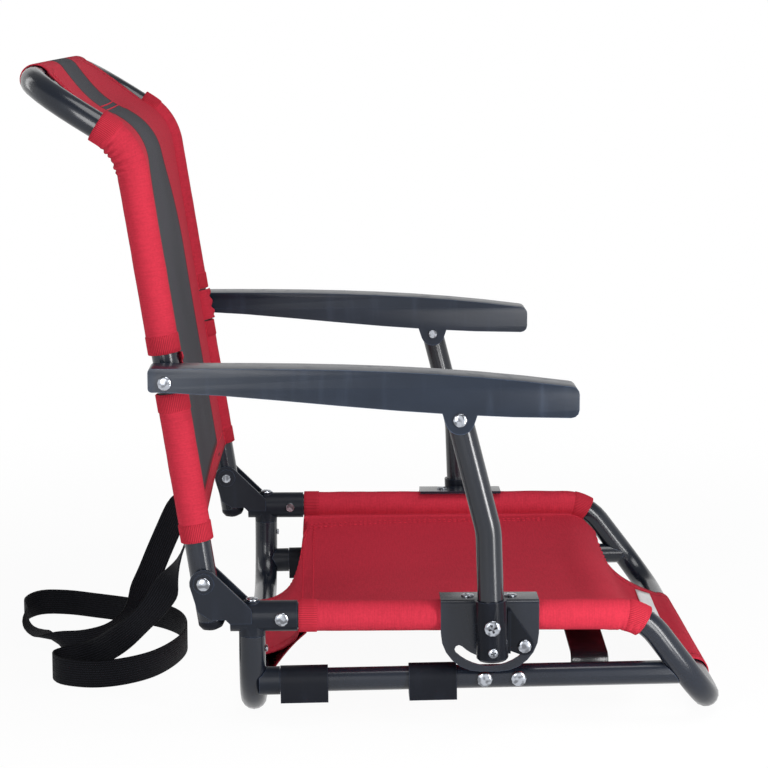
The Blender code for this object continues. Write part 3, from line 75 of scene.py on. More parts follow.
# The frame that the cloth hangs on, as in the part's source
HINGE = Vector(JOINTS["back_fold"]["pos_m"])
RAIL_HEIGHT = Vector(JOINTS["link_swing_left"]["pos_m"]).z
HALF_SPACING = 0.225
TUBE_RADIUS = 0.0111
CLEARANCE = 0.0003
CLOTH_THICKNESS, SLEEVE_SLACK = 0.0012, 0.0008
SLEEVE_RADIUS = TUBE_RADIUS + SLEEVE_SLACK + CLOTH_THICKNESS / 2
FLOOR_BAR_HEIGHT = SLEEVE_RADIUS + CLOTH_THICKNESS / 2
LEG_REACH, KNEE_REACH, FRONT_REACH = 0.0396, 0.367, 0.4285
KNEE_RADIUS, KINK_RADIUS = 0.045, 0.050
BACK_LEAN, HEAD_LEAN = radians(9), radians(58)
BACK_TO_KINK, HEAD_LENGTH = 0.3665, 0.0957

# Seat cloth: reaches from the hinge, lengths along the rail, and wraps round a cross tube in degrees
SEAT_REAR_REACH = 0.0785
SEAT_SLEEVE_START = radians(-135)
SEAT_BEND_SHARE = 0.6
SEAT_DROP, SEAT_SAG, REAR_DIP = 0.0062, 0.0085, 0.040
LEAST_SAG, SAG_POWER, DIP_POWER = 0.2, 0.7, 4
SEAT_BEND_RAMP, SEAT_GATHER = 0.02, 0.0020
REAR_WRAP, FRONT_WRAP = (105, 210), (100, -300)
REAR_FLAP = {"steps": 18, "sag": 0, "hang": (3, 1.5)}
FRONT_FLAP = {"steps": 22, "sag": 0.017, "hang": (2.6, 1)}
POCKET_FLAP = {"steps": 14, "sag": 0.002}
REAR_FLAP_HALF, FRONT_FLAP_HALF = 0.100, 0.120
POCKET_SEAM, POCKET_HALF, POCKET_DROP = 0.0075, 0.150, 1.8 * CLOTH_THICKNESS
FRONT_CORNER, FRONT_CORNER_HALF, FRONT_CORNER_SHARE = (0.3737, 0.0715), 0.192, 0.08
SEAT_SEAMS = (0.018, 0.024)

# Back cloth: lengths along the back tube from the hinge
BACK_SLEEVE_START = radians(-70)
BACK_HEM, LOW_SLEEVE_TOP, HIGH_SLEEVE_BASE = 0.0345, 0.161, 0.194
SLEEVE_PAST_KINK = 0.030
TAB_TURN, TAB_FLARE, TAB_PITCH, TAB_SPACING = radians(85), 0.0032, 0.0052, 0.0015
LEAST_TAB = 0.75
BACK_SAG, KINK_SAG = 0.0030, 0.0040
KINK_SAG_RAMP, BACK_GATHER = 0.05, 0.0021
GATHER_RAMP, GATHER_END = 0.008, 0.02
HEAD_WRAP, HEAD_FLAP_HALF = (40, 270), 0.165
HEAD_FLAP = {"steps": 18, "sag": 0.0070, "hollow": 0.45}
BACK_SEAM, HEM_SEAM_INSET = 0.005, 0.03
HEM_BAND = 0.019
STRIPE_LOW_HALF, STRIPE_HEAD_HALF = 0.126, 0.056
STRIPE_TAPER_START, STRIPE_TAPER_END = 0.25, 0.40

# Cloth grid, binding and stitches
SLEEVE_TURN, SLEEVE_STEPS, PANEL_COLUMNS = radians(350), 26, 48
ROW_SPACING, BEND_SPACING = 0.005, 0.0010
BINDING_WIDTH, BINDING_LIFT = 0.0155, 0.0003
RIB_PITCH, RIB_HEIGHT = 0.00145, 0.00040
HEM_INSET, LEAST_LEAN = 0.012, 0.35
THREAD = 0.0010
STITCH_SHARE, STITCH_LIFT, STITCH_TAPER, STITCH_RISE = 0.62, 0.0002, 0.2, 0.7
GATHER_PITCH = 0.0066
GATHER_FROM, GATHER_POWER, GATHER_FULL = 0.3, 1.2, 1.4
SLEEVE_WRINKLE, FLAP_SLACK = 0.00045, 0.3

# Ripples: the lift and height, the noise's scale across and along, and its seed
SEAT_RIPPLE, BACK_RIPPLE = (0, 0.0009, 9, 14, 3), (0.0005, 0.0005, 8, 11, 7)

# Webbing
BELT_WIDTH, BELT_THICKNESS = 0.032, 0.0016
STRAP_WIDTH, STRAP_THICKNESS = 0.025, 0.0016
STRAP_SEAM_TOP, STRAP_SEAM_SIDE = 0.052, 0.130
STRAP_SPACING, FLAT_SHARE = 0.006, 0.94

# Blank label on the front flap
LABEL_HALF, LABEL_REAR, LABEL_FRONT = 0.100, 0.403, 0.417
LABEL_ROWS, LABEL_COLUMNS = 0.0035, 0.008
LABEL_LIFT, LABEL_THICKNESS = 0.0010, 0.0005

# Edge wear and its painted edge highlight, and hem folds and stripe seams with painted shade, in the finishes
EDGE_WEAR_HIGHLIGHT_START, EDGE_WEAR_HIGHLIGHT_FULL, WEAR_AND_HIGHLIGHT_LEVEL = 0.005, 0.10, 6
SEAM_SHADOW_WIDTH, HEM_FOLD, HEM_FOLD_SHADOW_WIDTH = 0.0050, 0.002, 0.0012

# Camera solved from the photograph
CAMERA_PLACE = Vector((HINGE.x + 0.105665, -2.16761, 0.59745))
CAMERA_YAW, CAMERA_PITCH = radians(1.3088), radians(8.9914)
CAMERA_LENS, CAMERA_SENSOR = 111.71, 36.0


# Settings that a user would change


def tint(name, description, default):
    return FloatVectorProperty(
        name=name, description=description, subtype="COLOR", size=3, min=0, max=1, default=default
    )


def power(name, description, default):
    return FloatProperty(name=name, description=description, unit="POWER", default=default, min=0, max=500)


def share(name, description, default):
    return FloatProperty(name=name, description=description, default=default, min=0, max=1)


class ClothSettings(PropertyGroup):
    """Colours and weave of the slung cloth and the webbing"""

    red: tint("Red", "Colour of the woven cloth", (0.43, 0.0235, 0.044))
    stripe: tint("Stripe", "Colour of the back's stripe", (0.046, 0.047, 0.055))
    binding: tint("Binding", "Colour of the ribbed binding", (0.45, 0.020, 0.040))
    webbing: tint("Webbing", "Colour of the straps", (0.0034, 0.0036, 0.0050))
    label: tint("Label", "Colour of the blank label", (0.74, 0.74, 0.75))
    thread_pitch: FloatProperty(
        name="Thread pitch", description="Spacing of the cloth's threads", unit="LENGTH", default=0.0011,
        min=0.0004, max=0.004,
    )


class FinishSettings(PropertyGroup):
    """Colours of the hard pieces"""

    paint: tint("Powder coat", "Colour of the tubes and plates", (0.0080, 0.0110, 0.0185))
    moulded: tint("Moulded plastic", "Colour of brackets and boots", (0.0055, 0.0080, 0.0140))
    arm: tint("Arm plastic", "Colour of the armrests", (0.0120, 0.0175, 0.0290))
    nylon: tint("Nylon", "Colour of pads, plugs and spacers", (0.0050, 0.0062, 0.0100))
    zinc: tint("Zinc", "Colour of the rivets and screws", (0.36, 0.38, 0.42))


class StudioSettings(PropertyGroup):
    """Floor and light levels"""

    floor: tint("Floor", "Colour of the floor", (0.92, 0.92, 0.92))
    floor_glow: share("Floor glow", "How white the floor stays in shadow", 0.95)
    front_power: power("Front", "Power of the box in front of the seat", 6)
    key_power: power("Overhead", "Power of the overhead box", 11.2)
    right_power: power("Right", "Power of the strip in front of the seat, to the right", 9.5)
    left_power: power("Left", "Power of the strip behind the seat, to the left", 10)
    low_power: power("Low", "Power of the small strip beside the near arm", 0.65)
    room_light: share("Room", "Strength of the room's light", 0.13)
    ceiling: share("Ceiling", "How much darker the ceiling is than the white backdrop", 0.75)


# Shader maths


class Wire:
    """A node's output, so that shader maths is written as Python expressions."""

    def __init__(self, graph, socket):
        self.graph, self.socket = graph, socket

    def math(self, operation, *values):
        return self.graph.node("ShaderNodeMath", {"operation": operation}, dict(enumerate(values)))

    def __add__(self, other):
        return self.math("ADD", self, other)

    def __sub__(self, other):
        return self.math("SUBTRACT", self, other)

    def __rsub__(self, other):
        return self.math("SUBTRACT", other, self)

    def __mul__(self, other):
        return self.math("MULTIPLY", self, other)

    def __abs__(self):
        return self.math("ABSOLUTE", self)

    def __or__(self, other):
        return self.math("MAXIMUM", self, other)

    __radd__, __rmul__ = __add__, __mul__

    def wave(self, pitch):
        """A ripple from 0 to 1 with this spacing."""
        return self.math("SINE", self * (tau / pitch)) * 0.5 + 0.5

    def step(self, low, high):
        """0 below low, 1 above high, smooth between."""
        return self.graph.node(
            "ShaderNodeMapRange", {"interpolation_type": "SMOOTHSTEP"},
            {"Value": self, "From Min": low, "From Max": high},
        )

    def line(self, place, width):
        """1 on a line at this value, fading to 0 over its width."""
        return 1 - abs(self - place).step(width / 4, width)


class Graph:
    """A node tree, with one way to add a node to it."""

    def __init__(self, tree):
        self.tree = tree

    def node(self, kind, settings, inputs, output=0):
        made = self.tree.nodes.new(kind)
        for name, value in settings.items():
            setattr(made, name, value)
        for name, value in inputs.items():
            if isinstance(value, Wire):
                self.tree.links.new(value.socket, made.inputs[name])
            else:
                made.inputs[name].default_value = value
        return Wire(self, made.outputs[output])

    def outputs(self, wire):
        return [Wire(self, socket) for socket in wire.socket.node.outputs]

    def seen_rays(self):
        """1 for what the camera, a mirror or a view through glass sees, 0 for light on things."""
        rays = self.node("ShaderNodeLightPath", {}, {}).socket.node.outputs
        camera, glossy, through = (
            Wire(self, rays[name]) for name in ("Is Camera Ray", "Is Glossy Ray", "Is Transmission Ray")
        )
        return camera | glossy | through


class Finish(Graph):
    """A material with one Principled shader and the nodes that vary it."""

    def __init__(self, name, **constants):
        self.material = bpy.data.materials.new(name)
        self.material.use_nodes = True
        super().__init__(self.material.node_tree)
        self.shader = self.tree.nodes["Principled BSDF"]
        for socket, value in constants.items():
            self.shader.inputs[socket.replace("_", " ")].default_value = value

    def place(self):
        return self.node("ShaderNodeTexCoord", {}, {}, "Object")

    def axes(self, vector):
        return self.outputs(self.node("ShaderNodeSeparateXYZ", {}, {0: vector}))

    def flat(self):
        """The cloth's own width and length in metres."""
        return self.axes(self.node("ShaderNodeUVMap", {"uv_map": "cloth"}, {}))[:2]

    def noise(self, scale, detail, vector=None):
        inputs = {"Vector": vector or self.place(), "Scale": scale, "Detail": detail}
        return self.node("ShaderNodeTexNoise", {}, inputs)

    def edges(self, radius):
        """1 on a piece's sharp edges, fading to 0 over this radius."""
        rounded = self.node("ShaderNodeBevel", {"samples": 6}, {"Radius": radius})
        flat = self.node("ShaderNodeNewGeometry", {}, {}, "Normal")
        inputs = {0: rounded, 1: flat}
        facing = self.node("ShaderNodeVectorMath", {"operation": "DOT_PRODUCT"}, inputs, "Value")
        return (1 - facing).step(EDGE_WEAR_HIGHLIGHT_START, EDGE_WEAR_HIGHLIGHT_FULL)

    def attribute(self, name):
        return self.node("ShaderNodeAttribute", {"attribute_name": name}, {}, "Fac")

    def mix(self, part, one, other):
        inputs = {"Factor": part, 6: self.rgba(one), 7: self.rgba(other)}
        return self.node("ShaderNodeMix", {"data_type": "RGBA"}, inputs, 2)

    def tones(self, part, colour, low, high):
        return self.mix(part, shade(colour, low), shade(colour, high))

    @staticmethod
    def rgba(colour):
        return colour if isinstance(colour, Wire) else (*colour[:3], 1)

    def vary(self, socket, wire):
        self.tree.links.new(wire.socket, self.shader.inputs[socket])
        return self

    def bump(self, height, distance, strength):
        inputs = {"Height": height, "Distance": distance, "Strength": strength}
        return self.vary("Normal", self.node("ShaderNodeBump", {}, inputs))


def shade(colour, level):
    return tuple(min(1.0, channel * level) for channel in colour)


def powder_coat(name, colour, gloss):
    made = Finish(name, Specular_IOR_Level=gloss, Coat_Roughness=0.1)
    speckle, cloud = made.noise(900, 2), made.noise(14, 3)
    body = made.tones(cloud.step(0.3, 0.7), colour, 0.88, 1.14)
    # Lighter edges: partly real wear, partly a painted highlight.
    edge_wear_and_highlight = made.edges(0.0008) * (0.3 + cloud * 0.5)
    made.vary("Base Color", made.mix(edge_wear_and_highlight, body, shade(colour, WEAR_AND_HIGHLIGHT_LEVEL)))
    made.vary("Roughness", 0.16 + speckle * 0.08 + cloud * 0.06)
    made.vary("Coat Weight", 0.05 + cloud * 0.1)
    return made.bump(speckle, 0.00006, 0.12).material


def moulded_plastic(name, colour, grain, rough, gloss):
    made = Finish(name, Specular_IOR_Level=gloss)
    pebble, cloud = made.noise(grain, 3), made.noise(22, 2)
    x, y, z = made.axes(made.place())
    streaks = made.node("ShaderNodeCombineXYZ", {}, {0: x * 90, 1: y * 90, 2: z * 14})
    scuffs = made.noise(1, 3, streaks).step(0.52, 0.78)
    body = made.tones(cloud.step(0.25, 0.75), colour, 0.9, 1.12)
    # Lighter edges: partly real wear, partly a painted highlight.
    edge_wear_and_highlight = made.edges(0.0011) * (0.35 + cloud * 0.5)
    made.vary("Base Color", made.mix(scuffs * 0.1 | edge_wear_and_highlight, body, shade(colour, WEAR_AND_HIGHLIGHT_LEVEL)))
    made.vary("Roughness", rough + pebble * 0.12 + scuffs * 0.10)
    return made.bump(pebble, 0.0002, 0.16).material


def zinc_plate(name, colour):
    """Bright zinc with its crystals, with painted shade where ambient occlusion finds a recess."""
    made = Finish(name, Metallic=1.0)
    fine, cloud = made.noise(1800, 2), made.noise(160, 3)
    crystals = made.noise(290, 0)
    bright = crystals.step(0.34, 0.60) * 0.75 + cloud * 0.25
    inside = {"Distance": 0.0022}
    recess_shade_ao = made.node("ShaderNodeAmbientOcclusion", {"samples": 6, "only_local": True}, inside, "AO")
    metal = made.tones(bright, colour, 0.42, 1.45)
    # Painted shade: the colour goes nearly black where ambient occlusion finds a recess.
    made.vary("Base Color", made.mix(recess_shade_ao.step(0.45, 0.9), shade(colour, 0.06), metal))
    made.vary("Roughness", 0.14 + fine * 0.12 + cloud * 0.06)
    return made.bump(fine, 0.00003, 0.6).material


def weave(made, pitch):
    """A plain weave's height: threads over and under each other, each a little uneven."""
    across, along = made.flat()
    over = across.wave(pitch) * along.wave(pitch)
    under = (1 - across.wave(pitch)) * (1 - along.wave(pitch))
    return over + under + made.noise(700, 2) * 0.5


def cloth_finish(name, cloth):
    """Red woven cloth, with the back's grey stripe where the mesh has one, and hems of two layers; painted shade
    darkens the stripe's seams and the hems' folds.
    """
    made = Finish(name, Specular_IOR_Level=0.10)
    threads, cloud, slub = weave(made, cloth.thread_pitch), made.noise(9, 3), made.noise(620, 2)
    across, along = made.flat()
    picks = made.node("ShaderNodeCombineXYZ", {}, {0: across * 70, 1: along * 900})
    uneven = slub.step(0.35, 0.65) * 0.5 + made.noise(1, 2, picks).step(0.35, 0.65) * 0.5
    red = made.tones(cloud.step(0.3, 0.7), cloth.red, 0.84, 0.96)
    red = made.mix(uneven * 0.6, red, shade(cloth.red, 1.32))
    grey = made.tones(cloud.step(0.3, 0.7), cloth.stripe, 0.9, 1.12)
    stripe, border = made.attribute("stripe"), made.attribute("border")
    colour = made.mix(stripe.step(-0.0004, 0.0004), red, grey)
    seam_groove_shadow = stripe.line(0, SEAM_SHADOW_WIDTH)
    hem_fold_shadow = border.line(HEM_INSET + HEM_FOLD, HEM_FOLD_SHADOW_WIDTH)
    # Painted shade: a dark line along the stripe's seams and at the hems' folds.
    colour = made.mix(seam_groove_shadow * 0.75 | hem_fold_shadow * 0.55, colour, shade(cloth.red, 0.10))
    made.vary("Base Color", colour)
    made.vary("Roughness", 0.70 + threads * 0.08)
    hem = 1 - border.step(HEM_INSET, HEM_INSET + HEM_FOLD)
    height = threads * 0.35 + hem * 0.9 - seam_groove_shadow * 0.8
    return made.bump(height, 0.0005, 0.8).material


def binding_finish(name, colour):
    """Corded ribbon and thread, with painted shade between its ribs and painted light on their crests, which the
    thread shares.
    """
    made = Finish(name, Specular_IOR_Level=0.15)
    rib, fuzz = made.attribute("rib"), made.noise(1400, 3)
    # Painted light and shade: lighter on the ribs' crests and the thread, darker between the ribs.
    made.vary("Base Color", made.tones(rib * 0.8 + fuzz * 0.2, colour, 0.36, 1.26))
    made.vary("Roughness", 0.62 + fuzz * 0.2)
    return made.bump(fuzz, 0.0002, 0.5).material


def webbing_finish(name, colour, rough, gloss, waves):
    """Woven webbing with painted sheen and shade on its weave, which a large wave makes lie a little uneven."""
    made = Finish(name, Specular_IOR_Level=gloss)
    across, along = made.flat()
    cords = across.wave(0.0021)
    picks = (along + across * 0.6).wave(0.0016)
    # Painted sheen and shade: lighter where the cords and picks both rise, darker between them.
    made.vary("Base Color", made.tones(cords * picks, colour, 0.4, 5.0))
    made.vary("Roughness", rough + picks * 0.15)
    height = (cords + picks * 0.6) * (1 - 0.8 * min(waves, 1)) + made.noise(42, 2) * waves
    return made.bump(height, 0.0004, 0.7).material


def label_finish(name, colour):
    """Plain woven satin, without any mark."""
    made = Finish(name, Specular_IOR_Level=0.3)
    across, along = made.flat()
    satin, wear = (along + across * 0.3).wave(0.0009), made.noise(40, 3)
    made.vary("Base Color", made.mix(wear.step(0.3, 0.8), colour, shade(colour, 0.88)))
    made.vary("Roughness", 0.5 + satin * 0.15)
    return made.bump(satin, 0.0001, 0.5).material


# Cloth, binding and ribbons


def make_object(name, bm, finish):
    bmesh.ops.recalc_face_normals(bm, faces=bm.faces)
    for face in bm.faces:
        face.smooth = True
    mesh = bpy.data.meshes.new(name)
    bm.to_mesh(mesh)
    bm.free()
    mesh.materials.append(finish)
    obj = bpy.data.objects.new(name, mesh)
    bpy.context.scene.collection.objects.link(obj)
    return obj


def fill(bm, one, other):
    """Faces between two lines of corners."""
    return [bm.faces.new((one[j], one[j + 1], other[j + 1], other[j])) for j in range(len(one) - 1)]


def thicken(obj, thickness):
    modifier = obj.modifiers.new("Thickness", "SOLIDIFY")
    modifier.thickness, modifier.offset = thickness, 0


def spread(start, end, spacing):
    steps = max(1, round(abs(end - start) / spacing))
    return [start + (end - start) * i / steps for i in range(steps + 1)]


def lerp(one, other, part):
    return one + (other - one) * part


def smooth(value, low, high):
    part = min(max((value - low) / (high - low), 0), 1)
    return part * part * (3 - 2 * part)


def pucker(length):
    """The height, from 0 to 1, of uneven gathers along a sleeve."""
    uneven = noise.noise(Vector((length * 90, 0, 11)))
    return (0.5 - 0.5 * cos(tau * length / GATHER_PITCH + 1.5 * uneven)) * (0.8 + 0.6 * uneven)


class TubePath:
    """A tube's middle line from the side: straight, one bend away from its normal, and straight."""

    NEAR = 1e-6

    def __init__(self, start, direction, hand, straight, radius, turn):
        self.start, self.direction = Vector(start), Vector(direction)
        self.normal = Vector((-self.direction.y, self.direction.x)) * hand
        self.straight, self.radius, self.turn = straight, radius, turn
        self.bend = radius * turn

    def at(self, length):
        """The place and normal at this length."""
        if length <= self.straight:
            return self.start + self.direction * length, self.normal
        angle = min((length - self.straight) / self.radius, self.turn)
        normal = self.normal * cos(angle) + self.direction * sin(angle)
        direction = self.direction * cos(angle) - self.normal * sin(angle)
        centre = self.start + self.direction * self.straight - self.normal * self.radius
        past = max(0.0, length - self.straight - self.bend)
        return centre + normal * self.radius + direction * past, normal

    def lengths(self, start, end):
        """Lengths for rows of cloth, closer together on the bend."""
        bend = (self.straight, self.straight + self.bend)
        marks = [start, *(mark for mark in bend if start < mark < end), end]
        found = [start]
        for one, other in zip(marks, marks[1:]):
            bent = bend[0] - self.NEAR < one < bend[1] - self.NEAR
            found += spread(one, other, BEND_SPACING if bent else ROW_SPACING)[1:]
        return found


class Row:
    """One line of cloth across the seat: its middle and edge as (x, z), its half width and its normal.
    A sleeved row also has its tube's place and the angle at which the panel leaves the sleeve."""

    def __init__(self, middle, edge, half, normal, sleeve=None, gather=0.0):
        self.middle, self.edge, self.normal = Vector(middle), Vector(edge), Vector(normal)
        self.half, self.sleeve, self.gather = half, sleeve, gather
        self.stripe, self.hem, self.lean = 0.0, 1.0, 1.0
        self.turn, self.flare = SLEEVE_TURN, 0.0

    def point(self, y):
        """The place at this distance from the middle, on the hanging line."""
        x, z = self.edge.lerp(self.middle, 1 - (y / self.half) ** 2)
        return Vector((x, y, z))

    def up(self):
        return Vector((self.normal.x, 0, self.normal.y))


def sleeved_row(path, length, start, drop, gather=0.0):
    place, normal = path.at(length)
    joint = place + normal * SLEEVE_RADIUS * cos(start)
    half = HALF_SPACING + SLEEVE_RADIUS * sin(start)
    return Row(joint - normal * drop, joint, half, normal, (place, start), gather)


def round_bar(bar, start, turn, half):
    """Rows of cloth wrapped round a cross tube."""
    rows = []
    for i in range(SLEEVE_STEPS + 1):
        angle = radians(start) + radians(turn) * i / SLEEVE_STEPS
        out = Vector((cos(angle), sin(angle)))
        place = Vector(bar) + SLEEVE_RADIUS * out
        rows.append(Row(place, place, half, out))
    return rows


def flap(bar_row, panel_row, steps, sag, hang=(1, 1), hollow=2.0):
    """Rows from a cross tube to the sleeved panel, with edges cut in a hollow curve. Larger powers in hang
    let the edges drop from the panel before they reach out. A sag lowers the middle."""
    rows = []
    reach_power, rise_power = hang
    gap = panel_row.edge - bar_row.edge
    for i in range(1, steps):
        part = i / steps
        half = lerp(bar_row.half, panel_row.half, part**hollow)
        reach, rise = 1 - (1 - part) ** reach_power, part**rise_power
        edge = bar_row.edge + Vector((gap.x * reach, gap.y * rise))
        middle = bar_row.middle.lerp(panel_row.middle, part) - Vector((0, sag * sin(pi * part)))
        normal = bar_row.normal.lerp(panel_row.normal, part).normalized()
        rows.append(Row(middle, edge, half, normal))
    return rows


class ClothGrid:
    """Builds one slung panel with its sleeves from rows, with its flat size kept for the weave."""

    def __init__(self, rows, *ripple):
        self.bm = bmesh.new()
        self.flat = {}
        self.uv = self.bm.loops.layers.uv.new("cloth")
        self.layers = {key: self.bm.verts.layers.float.new(key) for key in ("stripe", "border")}
        self.ripple = ripple
        along = 0.0
        panel, sleeves = [], []
        for i, row in enumerate(rows):
            along += (row.middle - rows[i - 1].middle).length if i else 0
            row.lean = self.lean(rows, i)
            line = self.panel_line(row, along)
            panel.append(line)
            ends = ((-1, line[0]), (1, line[-1])) if row.sleeve else ()
            sleeves.append([self.sleeve_line(row, sign, end, along) for sign, end in ends])
        for i in range(len(rows) - 1):
            fill(self.bm, panel[i], panel[i + 1])
            if (rows[i].turn == SLEEVE_TURN) == (rows[i + 1].turn == SLEEVE_TURN):
                for one, other in zip(sleeves[i], sleeves[i + 1]):
                    fill(self.bm, one, other)

    @staticmethod
    def lean(rows, i):
        """How much nearer the cut edge is than the distance along the row says."""
        one, other = rows[max(i - 1, 0)], rows[min(i + 1, len(rows) - 1)]
        slope = atan2(abs(other.half - one.half), (other.edge - one.edge).length)
        return max(LEAST_LEAN, cos(slope))

    def vert(self, place, across, along, stripe, border):
        vert = self.bm.verts.new(place)
        self.flat[vert] = (across, along)
        vert[self.layers["stripe"]], vert[self.layers["border"]] = stripe, border
        return vert

    def panel_line(self, row, along):
        lift, height, wide, long, seed = self.ripple
        line = []
        for j in range(PANEL_COLUMNS + 1):
            part = 2 * j / PANEL_COLUMNS - 1
            y = part * row.half
            ripple = lift + height * noise.noise(Vector((y * wide, along * long, seed)))
            slack = ripple * (1 - part**2) * (1.0 if row.sleeve else FLAP_SLACK)
            border = row.hem if row.sleeve else min(row.hem, (row.half - abs(y)) * row.lean)
            stripe = min(row.stripe - abs(y), row.hem - HEM_BAND) if row.stripe else -1.0
            line.append(self.vert(row.point(y) + row.up() * slack, y, along, stripe, border))
        return line

    def sleeve_line(self, row, sign, end, along):
        place, start = row.sleeve
        verts = [end]
        for i in range(1, SLEEVE_STEPS + 1):
            turn = start + row.turn * i / SLEEVE_STEPS
            inner_bend = max(0.0, GATHER_FROM - cos(turn)) ** GATHER_POWER / GATHER_FULL
            wrinkle = noise.noise(Vector((along * 55, turn * 1.7, sign * 5.0)))
            loose = sin(pi * i / SLEEVE_STEPS)
            radius = SLEEVE_RADIUS + loose * (row.gather * inner_bend + SLEEVE_WRINKLE * wrinkle)
            radius += row.flare * (i / SLEEVE_STEPS) ** 2
            x, z = place + row.normal * radius * cos(turn)
            across = sign * (row.half + SLEEVE_RADIUS * (turn - start))
            y = sign * (HALF_SPACING + radius * sin(turn))
            verts.append(self.vert((x, y, z), across, along, -1.0, 1.0))
        return verts

    def make(self, name, finish):
        for face in self.bm.faces:
            for loop in face.loops:
                loop[self.uv].uv = self.flat[loop.vert]
        obj = make_object(name, self.bm, finish)
        thicken(obj, CLOTH_THICKNESS)
        return obj


class Trim:
    """The ribbed binding at a cloth's sleeve ends and its rows of stitches, in one mesh."""

    def __init__(self):
        self.bm = bmesh.new()
        self.rib = self.bm.verts.layers.float.new("rib")

    def vert(self, place, rib):
        vert = self.bm.verts.new(place)
        vert[self.rib] = rib
        return vert

    def bind(self, path, low, high, start):
        """Binding round both tubes between two lengths along them."""
        count = 4 * round(SLEEVE_RADIUS * SLEEVE_TURN / RIB_PITCH)
        edge = (high - low) * 0.03
        lengths = [low, low + edge, *spread(low, high, 0.004)[1:-1], high - edge, high]
        for sign in SIDES:
            rings = []
            for k, length in enumerate(lengths):
                place, normal = path.at(length)
                flush = k in (0, len(lengths) - 1)
                ring = []
                for step in range(count + 1):
                    turn = start + SLEEVE_TURN * step / count
                    ridge = 0.5 - 0.5 * cos(tau * step / 4)
                    lift = 0.0 if flush else BINDING_LIFT + RIB_HEIGHT * ridge
                    radius = SLEEVE_RADIUS + CLOTH_THICKNESS / 2 + lift
                    x, z = place + normal * radius * cos(turn)
                    y = sign * (HALF_SPACING + radius * sin(turn))
                    ring.append(self.vert((x, y, z), ridge))
                rings.append(ring)
            for one, other in zip(rings, rings[1:]):
                fill(self.bm, one, other)

    def stitch(self, one, other, up):
        """One raised thread over most of the way between two points on the cloth's middle surface."""
        other = lerp(one, other, STITCH_SHARE)
        along = other - one
        side = along.cross(up).normalized() * THREAD / 2
        base = up * (CLOTH_THICKNESS / 2 + STITCH_LIFT)
        low = [one + base - side, one + base + side, other + base + side, other + base - side]
        middle = (one + other) / 2 + base
        high = [lerp(corner, middle, STITCH_TAPER) + up * THREAD * STITCH_RISE for corner in low]
        low, high = [self.vert(p, 1.0) for p in low], [self.vert(p, 1.0) for p in high]
        self.bm.faces.new(high)
        for k in range(4):
            self.bm.faces.new((low[k - 1], low[k], high[k], high[k - 1]))

    def sew(self, rows, inset):
        """Stitches down both sides, this far in from the panel's edges, but for the gathered rows."""
        rows = [row for row in rows if row.gather == 0]
        for row, after in zip(rows, rows[1:]):
            for sign in SIDES:
                ends = (line.point(sign * (line.half - inset / line.lean)) for line in (row, after))
                self.stitch(*ends, row.up())

    def sew_across(self, row, half):
        """A row of stitches across the panel."""
        places = [row.point(y) for y in spread(-half, half, ROW_SPACING)]
        for one, other in zip(places, places[1:]):
            self.stitch(one, other, row.up())

    def make(self, name, finish):
        return make_object(name, self.bm, finish)


def ribbon(name, route, widths, width, thickness, finish):
    """Flat webbing along a route, with rounded edges, lofted through one section at each point."""
    bm = bmesh.new()
    uv = bm.loops.layers.uv.new("cloth")
    half, thin_half = width / 2, thickness / 2
    flat_half = half * FLAT_SHARE
    section = [(-half, 0), (-flat_half, -thin_half), (0, -thin_half), (flat_half, -thin_half)]
    section += [(-a, -b) for a, b in section]
    rings, lengths = [], [0.0]
    for i, (place, wide) in enumerate(zip(route, widths)):
        along = (route[min(i + 1, len(route) - 1)] - route[max(i - 1, 0)]).normalized()
        wide = (wide - along * wide.dot(along)).normalized()
        thin = along.cross(wide)
        rings.append([bm.verts.new(place + wide * a + thin * b) for a, b in section])
        if i:
            lengths.append(lengths[-1] + (place - route[i - 1]).length)
    count = len(section)
    for i in range(len(rings) - 1):
        for k in range(count):
            corners = [(i, k), (i, (k + 1) % count), (i + 1, (k + 1) % count), (i + 1, k)]
            face = bm.faces.new([rings[row][column] for row, column in corners])
            for loop, (row, column) in zip(face.loops, corners):
                loop[uv].uv = (section[column][0], lengths[row])
    for cap in (rings[0], rings[-1]):
        bm.faces.new(cap)
    return make_object(name, bm, finish)


def smooth_route(points, spacing):
    """Points read at about this spacing from a smooth curve through a route's own points."""
    points = [Vector(p) for p in points]
    ends = [2 * points[0] - points[1], *points, 2 * points[-1] - points[-2]]
    fine = []
    for a, b, c, d in zip(ends, ends[1:], ends[2:], ends[3:]):
        steps = max(1, round((c - b).length / spacing))
        for i in range(steps):
            t = i / steps
            bend, twist = 2 * a - 5 * b + 4 * c - d, 3 * b - a - 3 * c + d
            fine.append(0.5 * (2 * b + (c - a) * t + bend * t**2 + twist * t**3))
    return fine + [points[-1]]


# Operators


